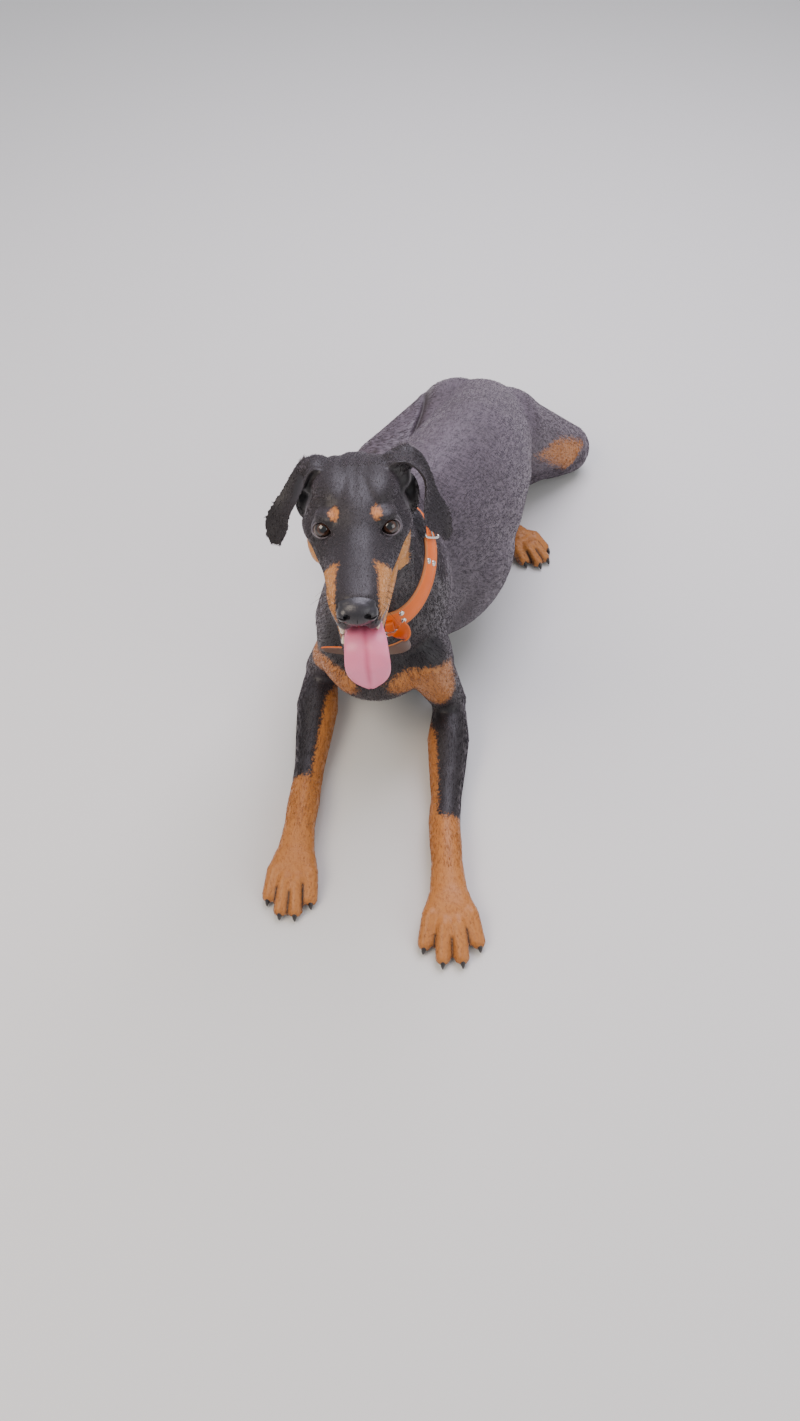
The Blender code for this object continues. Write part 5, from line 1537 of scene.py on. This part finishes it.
@dataclass(frozen=True)
class Whiskers:
    """Stiff tactile hairs of the muzzle's sides, clipped short."""

    count: int = 8
    length: float = 0.022

    def build(self) -> bpy.types.Object:
        """The whiskers as one piece, each a thin tapered rod."""
        draw = np.random.default_rng(SEED)
        made = []
        for side in Side:
            for index in range(self.count):
                row, column = divmod(index, 4)
                root = Vector((side.value * (0.0255 + 0.0010 * column), -0.094 + 0.010 * column, -0.024 - 0.006 * row))
                way = Vector((side.value * 0.85, -0.25 + 0.30 * column / 3.0, -0.35 - 0.15 * row)).normalized()
                way = (way + Vector(draw.normal(0.0, 0.10, 3))).normalized()
                made.append(self.hair(root - way * 0.004, way, self.length * draw.uniform(0.6, 1.1)))
        whiskers = gather("whiskers", made)
        whiskers.data.transform(head_frame())
        return whiskers

    @staticmethod
    def hair(root: Vector, way: Vector, length: float) -> bpy.types.Object:
        """One whisker that droops toward its tip."""
        spots = [(root + way * length * share - UP * 0.004 * share ** 2, 0.00020 * (1.0 - share) + 0.00005)
                 for share in (0.0, 0.25, 0.5, 0.75, 1.0)]
        return loft("Whisker", [section(place, wide, wide) for place, wide in spots], sides=5)


@dataclass(frozen=True)
class Coat:
    """Short tufts that lie along the body and fray its outline."""

    guides: tuple = (
        ("head", (-0.112, -0.300, 0.450), (-0.110, -0.120, 0.470)), ("jaw", (-0.112, -0.290, 0.370),
                                                                     (-0.105, -0.160, 0.350)),
        ("nape", (-0.108, -0.090, 0.420), (-0.080, -0.010, 0.290)), ("throat", (-0.105, -0.185, 0.350),
                                                                      (-0.098, -0.165, 0.190)),
        ("back", (-0.075, 0.000, 0.260), (0.050, 0.380, 0.200)), ("belly", (-0.098, -0.120, 0.060),
                                                                  (0.010, 0.300, 0.080)),
    )
    legs: tuple = (("shoulder", "elbow"), ("elbow", "wrist"), ("wrist", "toe"), ("hip", "knee"), ("knee", "hock"),
                   ("hock", "toe"))

    def lie(self, points: np.ndarray, normals: np.ndarray) -> tuple[np.ndarray, np.ndarray]:
        """Which way the hair lies at each point, along the surface, and the guide that is nearest."""
        starts, ends = [], []
        for _, start, end in self.guides:
            starts.append(start)
            ends.append(end)
        for leg in (*FORELEGS, *HINDLEGS):
            for first, last in self.legs:
                if hasattr(leg, first) and hasattr(leg, last):
                    starts.append(tuple(getattr(leg, first)))
                    ends.append(tuple(getattr(leg, last)))
        starts.append(tuple(TAIL_ROOT))
        ends.append(tuple(TAIL_TIP))
        total = np.zeros_like(points)
        nearest = np.full(len(points), np.inf)
        owner = np.zeros(len(points), int)
        for index, (start, end) in enumerate(zip(starts, ends)):
            gap = -Markings.rod(points, start, end, 0.0)
            span = np.array(end) - np.array(start)
            total += (span / np.linalg.norm(span)) / (gap[:, None] ** 4 + 1e-9)
            owner = np.where(gap < nearest, index, owner)
            nearest = np.minimum(gap, nearest)
        ears = np.abs(in_head(points)[:, 0]) > 0.056
        down = np.array((0.0, -0.25, -1.0))
        total = np.where(ears[:, None] & (owner < 3)[:, None], down, total)
        total -= normals * np.sum(total * normals, axis=1, keepdims=True)
        return total / (np.linalg.norm(total, axis=1, keepdims=True) + 1e-12), owner

    def scatter(self, skin: bpy.types.Object, count: int, keep: object, draw: np.random.Generator) -> tuple:
        """Random places on one region of the skin, spread by area, with their normals."""
        mesh = skin.data
        mesh.calc_loop_triangles()
        corners = np.empty(len(mesh.loop_triangles) * 3, np.int32)
        mesh.loop_triangles.foreach_get("vertices", corners)
        trio = points_of(skin)[corners.reshape(-1, 3)]
        trio = trio[keep(trio.mean(axis=1))]
        normal = np.cross(trio[:, 1] - trio[:, 0], trio[:, 2] - trio[:, 0])
        area = np.linalg.norm(normal, axis=1)
        picked = draw.choice(len(area), count, p=area / area.sum())
        u, v = draw.random(count), draw.random(count)
        flip = u + v > 1.0
        u, v = np.where(flip, 1.0 - u, u), np.where(flip, 1.0 - v, v)
        first, second, third = trio[picked].transpose(1, 0, 2)
        places = first + (second - first) * u[:, None] + (third - first) * v[:, None]
        return places, normal[picked] / (area[picked, None] + 1e-15)

    def unwrap(self, points: np.ndarray, normals: np.ndarray, owner: np.ndarray) -> np.ndarray:
        """Each root's place on a box unwrap of the skin, one row of six tiles for each guide."""
        face = np.argmax(np.concatenate((normals, -normals), axis=1), axis=1)
        rows = owner.max() + 1
        flat = np.empty((len(points), 2))
        for region in range(rows):
            mine = owner == region
            if not mine.any():
                continue
            low, high = points[mine].min(0), points[mine].max(0)
            share = (points[mine] - low) / (high - low + 1e-6)
            axis = face[mine] % 3
            across = np.where(axis == 0, share[:, 1], share[:, 0])
            upward = np.where(axis == 2, share[:, 1], share[:, 2])
            flat[mine, 0] = (face[mine] + 0.04 + 0.90 * across) / 6.0
            flat[mine, 1] = (region + 0.06 + 0.86 * upward) / rows
        return flat

    def build(self, name: str, skin: bpy.types.Object, count: int, keep: object) -> bpy.types.Object:
        """Grow one piece of coat.

        Args:
            name: The piece's name.
            skin: The skin in the dog's frame.
            count: How many tufts to try.
            keep: A function of points that is true where this piece grows.

        Returns:
            The tufts as one object.
        """
        draw = np.random.default_rng(SEED + len(name))
        places, normals = self.scatter(skin, int(count * TUFT_SHARE), keep, draw)
        marks = Markings()
        good = (marks.bare(places) < 0.3) & (marks.gum(places) < 0.1) & (places[:, 2] > 0.004)
        good &= ~self.under_collar(places) & (Skin().from_fold(places) > 0.0045)
        places, normals = places[good], normals[good]
        lie, owner = self.lie(places, normals)
        size = len(places)
        on_face = in_head(places)
        face = (np.abs(on_face[:, 0]) < 0.06) & (on_face[:, 1] < 0.05) & (on_face[:, 2] > -0.10)
        feet = marks.paw_reach(places) > 0.0
        ears = (np.abs(on_face[:, 0]) >= 0.056) & (on_face[:, 2] > -0.06)
        length = np.where(face | ears, 0.0032, np.where(feet, 0.0038, 0.0065)) * draw.uniform(0.7, 1.25, size)
        loose = self.loose(places)
        length = length * (1.0 + 0.30 * loose)
        lift = length * (0.05 + 0.05 * loose) + 0.0001
        half = np.where(face | feet, 0.00022, 0.00034) * draw.uniform(0.7, 1.2, size)
        beside = np.cross(lie, normals)
        lie = lie + beside * draw.normal(0.0, 0.16, size)[:, None]
        lie /= np.linalg.norm(lie, axis=1, keepdims=True)
        root = places - normals * 0.0003
        spots = np.stack((
            root - beside * half[:, None], root + beside * half[:, None], root + normals * (half + 0.0004)[:, None],
            places + lie * length[:, None] + normals * lift[:, None]), axis=1)
        spots[:, :, 2] = np.maximum(spots[:, :, 2], 0.0002)
        faces = ((0, 1, 3), (1, 2, 3), (2, 0, 3), (0, 2, 1))
        return self.join(name, spots, faces, places, normals, owner, draw)

    def join(self, name: str, spots: np.ndarray, faces: tuple, places: np.ndarray, normals: np.ndarray,
             owner: np.ndarray, draw: np.random.Generator) -> bpy.types.Object:
        """One mesh of all tufts, with markings and a bake map from their roots."""
        size, each = spots.shape[:2]
        starts = np.arange(size)[:, None] * each
        loops = np.concatenate([starts + np.array(face) for face in faces], axis=1).ravel()
        sides = np.tile([len(face) for face in faces], size)
        mesh = bpy.data.meshes.new(name)
        mesh.vertices.add(size * each)
        mesh.vertices.foreach_set("co", spots.astype(np.float32).ravel())
        mesh.loops.add(len(loops))
        mesh.loops.foreach_set("vertex_index", loops.astype(np.int32))
        mesh.polygons.add(len(sides))
        mesh.polygons.foreach_set("loop_start", np.concatenate(([0], np.cumsum(sides)[:-1])).astype(np.int32))
        mesh.update(calc_edges=True)
        mesh.validate()
        mesh.shade_smooth()
        obj = bpy.data.objects.new(name, mesh)
        bpy.context.scene.collection.objects.link(obj)
        corner = np.array(((0, 0), (1, 0), (0.5, 0.3), (0.5, 1.0))) * 0.003
        patch = self.unwrap(places, normals, owner)[:, None, :] + corner[None, :, :]
        layer = mesh.uv_layers.new(name="OFBake")
        layer.data.foreach_set("uv", patch.reshape(-1, 2)[loops].astype(np.float32).ravel())
        marks = Markings()
        rust = marks.rust(places) + draw.normal(0.0, 0.0012, size)
        store(obj, "rust", np.repeat(rust, each))
        store(obj, "pale", np.repeat(marks.pale(places), each))
        return obj

    @staticmethod
    def under_collar(points: np.ndarray) -> np.ndarray:
        """True under the collar's band."""
        level = (points - np.array(COLLAR_PLACE)) @ np.array(NECK_AXIS)
        near = np.linalg.norm(points - np.array(COLLAR_PLACE), axis=1) < 0.11
        return (level > -COLLAR_DROP - 0.004) & (level < 0.004) & near

    @staticmethod
    def loose(points: np.ndarray) -> np.ndarray:
        """Where the hair is longer and stands off: neck sides, chest, backs of thighs, belly and tail."""
        soft = np.zeros(len(points))
        for place, reach in (((-0.100, -0.165, 0.200), 0.075), ((0.050, 0.400, 0.150), 0.070),
                             (tuple(TAIL_TIP), 0.050), ((-0.010, 0.160, 0.045), 0.090),
                             ((-0.130, -0.110, 0.290), 0.050), ((-0.050, -0.110, 0.290), 0.050)):
            gap = np.linalg.norm(points - np.array(place), axis=1)
            soft = np.maximum(soft, 1.0 - ramp(gap, reach * 0.6, reach * 1.2))
        return soft


@dataclass(frozen=True)
class Collar:
    """An orange leather collar with buckle, ring, rivets and a long free end."""

    buckle_angle: float = 112.0
    ring_angle: float = 9.6
    strap_start: Vector = Vector((-0.072, -0.188, 0.286))
    rivets: tuple = ((82.0, 0.74), (82.0, 0.30), (25.0, 0.74), (25.0, 0.30))
    strap_path: tuple = (
        (0.0000, 0.0000, 0.0000), (0.0065, 0.0050, -0.0010), (0.0100, 0.0110, -0.0015), (0.0085, 0.0170, -0.0020),
        (-0.0010, 0.0215, -0.0030), (-0.0160, 0.0240, -0.0045), (-0.0360, 0.0250, -0.0060),
        (-0.0560, 0.0240, -0.0080), (-0.0845, 0.0215, -0.0110),
    )

    @staticmethod
    def point(angle: float, share: float = 0.5, lift: float = 0.0) -> Vector:
        """A point on the collar's inner face.

        Args:
            angle: Degrees from the throat toward the dog's left.
            share: From its lower to its upper edge.
            lift: How far it stands off the face.

        Returns:
            The point in the dog's frame.
        """
        turn = math.radians(angle)
        end = 1 if math.cos(turn) > 0.0 else 2
        wide = along(COLLAR_BOTTOM[0], COLLAR_TOP[0], share) + lift
        deep = along(COLLAR_BOTTOM[end], COLLAR_TOP[end], share) + lift
        throat = Vector((0.0, -NECK_AXIS.z, NECK_AXIS.y)).normalized()
        beside = NECK_AXIS.cross(throat).normalized()
        level = NECK_AXIS * (share - 1.0) * COLLAR_DROP
        return COLLAR_PLACE + level + beside * wide * math.sin(turn) + throat * deep * math.cos(turn)

    def frame(self, angle: float, share: float, lift: float) -> Matrix:
        """A flat patch on the collar: X runs round it, Y up the neck and Z outward."""
        round_it = (self.point(angle + 2.0, share, lift) - self.point(angle - 2.0, share, lift)).normalized()
        up = (self.point(angle, 1.0, lift) - self.point(angle, 0.0, lift)).normalized()
        outward = round_it.cross(up).normalized()
        turned = Matrix((round_it, outward.cross(round_it), outward)).transposed().to_4x4()
        turned.translation = self.point(angle, share, lift)
        return turned

    def band(self) -> bpy.types.Object:
        """The band, with rounded edges and a pressed line along each."""
        bm = bmesh.new()
        profile = ((0.0, 0.04), (0.0, 0.96), (0.25, 1.0), (0.75, 1.0), (1.0, 0.965), (1.0, 0.90), (0.90, 0.87),
                   (1.0, 0.84), (1.0, 0.5), (1.0, 0.16), (0.90, 0.13), (1.0, 0.10), (1.0, 0.035), (0.75, 0.0),
                   (0.25, 0.0))
        verts = [bm.verts.new((1.0 + lift * COLLAR_THICK, 0.0, share)) for lift, share in profile]
        for first, second in zip(verts, verts[1:] + verts[:1]):
            bm.edges.new((first, second))
        bmesh.ops.spin(bm, geom=bm.verts[:] + bm.edges[:], axis=(0.0, 0.0, 1.0), steps=128, angle=math.tau,
                       use_merge=True)
        lifts, rims = [], []
        for vert in bm.verts:
            lift = math.hypot(vert.co.x, vert.co.y) - 1.0
            lifts.append(lift / COLLAR_THICK)
            rims.append(1.0 if abs(vert.co.z - 0.5) > 0.46 else 0.0)
            vert.co = self.point(math.degrees(math.atan2(vert.co.y, vert.co.x)), vert.co.z, lift)
        bmesh.ops.recalc_face_normals(bm, faces=bm.faces)
        made = add_object("leather_band", bm)
        store(made, "grain_side", np.array(lifts))
        store(made, "rim", np.array(rims))
        return made

    def strap(self) -> bpy.types.Object:
        """The free end, which leaves the ring, bows out and passes under the chin."""
        throat = Vector((0.0, -NECK_AXIS.z, NECK_AXIS.y)).normalized()
        rows = smooth_rows(self.strap_path, 5)
        sections, half = [], COLLAR_WIDTH / 2.0
        for index, (across, out, up) in enumerate(rows):
            left = (len(rows) - 1 - index) / 8.0
            taper = 1.0 if left >= 1.0 else max(math.sqrt(1.0 - (1.0 - left) ** 2), 0.25)
            place = self.strap_start + throat * out + NECK_AXIS * up + Vector((across, 0.0, 0.0))
            turn = along(-52.0, -12.0, min(index / 24.0, 1.0))
            twist = Matrix.Rotation(math.radians(turn), 3, "X")
            sections.append(section(place, half * taper, 0.0016, square=0.28, across=tuple(twist @ NECK_AXIS)))
        made = loft("leather_strap", sections, sides=32)
        path = np.array([tuple(item.place) for item in sections])
        points = points_of(made)
        nearest = np.argmin(np.linalg.norm(points[:, None, :] - path[None, :, :], axis=2), axis=1)
        width = np.array([item.across for item in sections])[nearest]
        outward = np.cross(width, np.gradient(path, axis=0)[nearest])
        outward /= np.linalg.norm(outward, axis=1, keepdims=True) + 1e-12
        level = np.sum((points - path[nearest]) * outward, axis=1)
        edge = np.abs(np.sum((points - path[nearest]) * width, axis=1)) / half
        store(made, "grain_side", 0.5 - level / 0.0032)
        store(made, "rim", (edge > 0.93).astype(float))
        return made

    def metal(self) -> list[bpy.types.Object]:
        """Buckle with its prong, the ring, and four rivets."""
        seat_frame = self.frame(self.buckle_angle, 0.5, COLLAR_THICK + 0.0016)
        corners = []
        for step in range(48):
            turn = math.tau * step / 48
            corners.append(seat_frame @ Vector((power(math.cos(turn), 0.35) * 0.0092,
                                                power(math.sin(turn), 0.35) * 0.0152, 0.0)))
        frame_bar = tube("Frame", corners, 0.00135, 12)
        prong = bone("Prong", seat_frame @ Vector((-0.0090, 0.0, 0.0003)), seat_frame @ Vector((0.0100, 0.0, 0.0016)),
                     0.0013, 0.0009)
        buckle = gather("buckle_metal", [frame_bar, prong])
        hang = (self.frame(self.ring_angle, 0.16, COLLAR_THICK + 0.0037)
                @ Matrix.Rotation(math.radians(32.0), 4, "X") @ Matrix.Translation((-0.0010, -0.0010, 0.0)))
        loop = []
        for step in range(56):
            turn = math.tau * step / 56
            upper = 0.35 if math.sin(turn) > 0.0 else 1.0
            loop.append(hang @ Vector((0.0115 * math.cos(turn), 0.0115 * math.sin(turn) * upper, 0.0)))
        ring = tube("ring_metal", loop, 0.0016, 14)
        heads = []
        for angle, share in self.rivets:
            place = self.frame(angle, share, COLLAR_THICK - 0.0004)
            bm = bmesh.new()
            bmesh.ops.create_uvsphere(bm, u_segments=20, v_segments=12, radius=1.0)
            bmesh.ops.scale(bm, vec=(0.0035, 0.0035, 0.0019), verts=bm.verts)
            bmesh.ops.transform(bm, matrix=place, verts=bm.verts)
            heads.append(add_object("Rivet", bm))
        return [buckle, ring, gather("rivet_heads", heads)]

    def loop(self) -> bpy.types.Object:
        """The folded leather tab that holds the ring."""
        hang = self.frame(self.ring_angle, 0.16, COLLAR_THICK + 0.0037)
        rows = [section(hang @ Vector((0.0, along(-0.0042, 0.0150, step / 12), 0.0)), 0.0046,
                        0.0029 * (1.0 if 0 < step < 12 else 0.6), square=0.35) for step in range(13)]
        made = loft("leather_tab", rows, sides=24, across=tuple(hang.to_3x3().col[0]))
        store(made, "grain_side", np.ones(len(made.data.vertices)))
        store(made, "rim", np.zeros(len(made.data.vertices)))
        return made


@dataclass(frozen=True)
class Studio:
    """A pale floor, soft lights and the camera at the photograph's angle."""

    floor_size: float = 14.0
    floor_colour: str = "#d8d6d2"
    sky: str = "#e6ebf2"

    def floor(self) -> None:
        """Lay the floor under the dog."""
        bm = bmesh.new()
        bmesh.ops.create_grid(bm, x_segments=1, y_segments=1, size=self.floor_size / 2.0)
        ground = add_object("floor", bm)
        tree, shader = new_material("painted_floor", {"Roughness": 0.7, "Base Color": linear(self.floor_colour)})
        ground.data.materials.append(bpy.data.materials["painted_floor"])

    def lights(self) -> None:
        """Set a broad key, a cool overhead panel and a low fill, with a pale world."""
        world = bpy.data.worlds.new("studio")
        bpy.context.scene.world = world
        world.use_nodes = True
        back = world.node_tree.nodes["Background"]
        back.inputs["Color"].default_value = linear(self.sky)
        back.inputs["Strength"].default_value = 0.68
        panels = (("key", (-1.3, -1.0, 2.1), 1.3, 40.0, "#fff0de"),
                  ("overhead", (0.4, 1.0, 2.3), 1.8, 72.0, "#f1ecff"), ("fill", (1.6, -1.4, 1.2), 1.4, 16.0, "#ffffff"))
        for name, place, size, watts, code in panels:
            light = bpy.data.lights.new(name, "AREA")
            light.size = size
            light.energy = watts
            light.color = linear(code)[:3]
            lamp = bpy.data.objects.new(name, light)
            lamp.location = place
            lamp.rotation_euler = (Vector((-0.02, 0.0, 0.2)) - Vector(place)).to_track_quat("-Z", "Y").to_euler()
            bpy.context.scene.collection.objects.link(lamp)

    def camera(self) -> Vector:
        """Place the camera and return where it stands, in the dog's frame."""
        middle = head_frame() @ Vector((0.0, EYE_DEPTH, 0.0))
        lens = bpy.data.cameras.new("camera")
        lens.sensor_fit = "VERTICAL"
        lens.sensor_height = SENSOR
        lens.lens = FOCAL_PIXELS / PHOTO_TALL * SENSOR
        lens.clip_start = 0.01
        stand = bpy.data.objects.new("camera", lens)
        stand.location = middle + CAMERA_STAND + SHIFT
        stand.rotation_euler = (CAMERA_PITCH, 0.0, 0.0)
        bpy.context.scene.collection.objects.link(stand)
        bpy.context.scene.camera = stand
        return middle + CAMERA_STAND


FLESH_NODES = tuple(["head", "neck", "chest", "hindquarters", "tail"] + [
    f"{part}_{side.word}" for part in ("ear", "upper_arm", "forearm", "forepaw", "thigh", "hindfoot")
    for side in Side])


def main() -> None:
    """Build and dress every piece."""
    logging.basicConfig(level=logging.INFO, format="%(name)s: %(message)s")
    studio = Studio()
    camera = studio.camera()
    studio.floor()
    studio.lights()
    coat = ShortCoat()
    skin = Skin().build()
    tufts = coat.build("short_coat_tufts", True)
    regions = {
        "coat_head": (lambda height, points: height > -0.06, 42000),
        "coat_chest": (lambda height, points: (height <= -0.06) & (points[:, 1] < 0.06), 42000),
        "coat_rump": (lambda height, points: points[:, 1] >= 0.06, 42000),
    }
    grown = [Coat().build(name, skin, count, lambda points, rule=rule: rule(neck_height(points), points))
             for name, (rule, count) in regions.items()]
    seat(skin, coat.build("short_coat_skin", False), FLESH_NODES)
    for piece in grown:
        seat(piece, tufts, ())
    eye = WetEye().build()
    for side in Side:
        seat(Eye(side).ball(camera), eye, (f"eye_{side.word}",))
    lid = PlainFinish("lid_skin", "#71666d", "#443c42", 0.4, 700.0, 0.3)
    seat(gather("lid_rims", [Eye(side).rims() for side in Side]), lid.build())
    seat(Nose().build(), NoseLeather().build(), ("nose_pad",))
    mouth = Mouth()
    seat(mouth.tongue(), WetTongue().build(), ("tongue",))
    seat(mouth.teeth(), PlainFinish("tooth_enamel", "#efe6d2", "#d9c9a8", 0.22, 160.0, 0.4).build())
    horn = PlainFinish("claw_horn", "#3a3230", "#151213", 0.32, 350.0, 0.2)
    claws = [claw for leg in (*FORELEGS, *HINDLEGS) for claw in leg.paw().claws()]
    seat(gather("claws", claws), horn.build())
    seat(Whiskers().build(), PlainFinish("whisker_hair", "#4a3a30", "#2a211d", 0.4, 900.0).build())
    collar = Collar()
    leather = BridleLeather().build()
    nickel = NickelPlate().build()
    seat(collar.band(), leather, ("collar_band",))
    seat(collar.strap(), leather, ("strap_end",))
    seat(collar.loop(), leather, ("ring_loop",))
    stands_for = (("buckle",), ("d_ring",), ("rivet_1", "rivet_2", "rivet_3", "rivet_4"))
    for piece, nodes in zip(collar.metal(), stands_for):
        seat(piece, nickel, nodes)


if __name__ == "__main__":
    main()
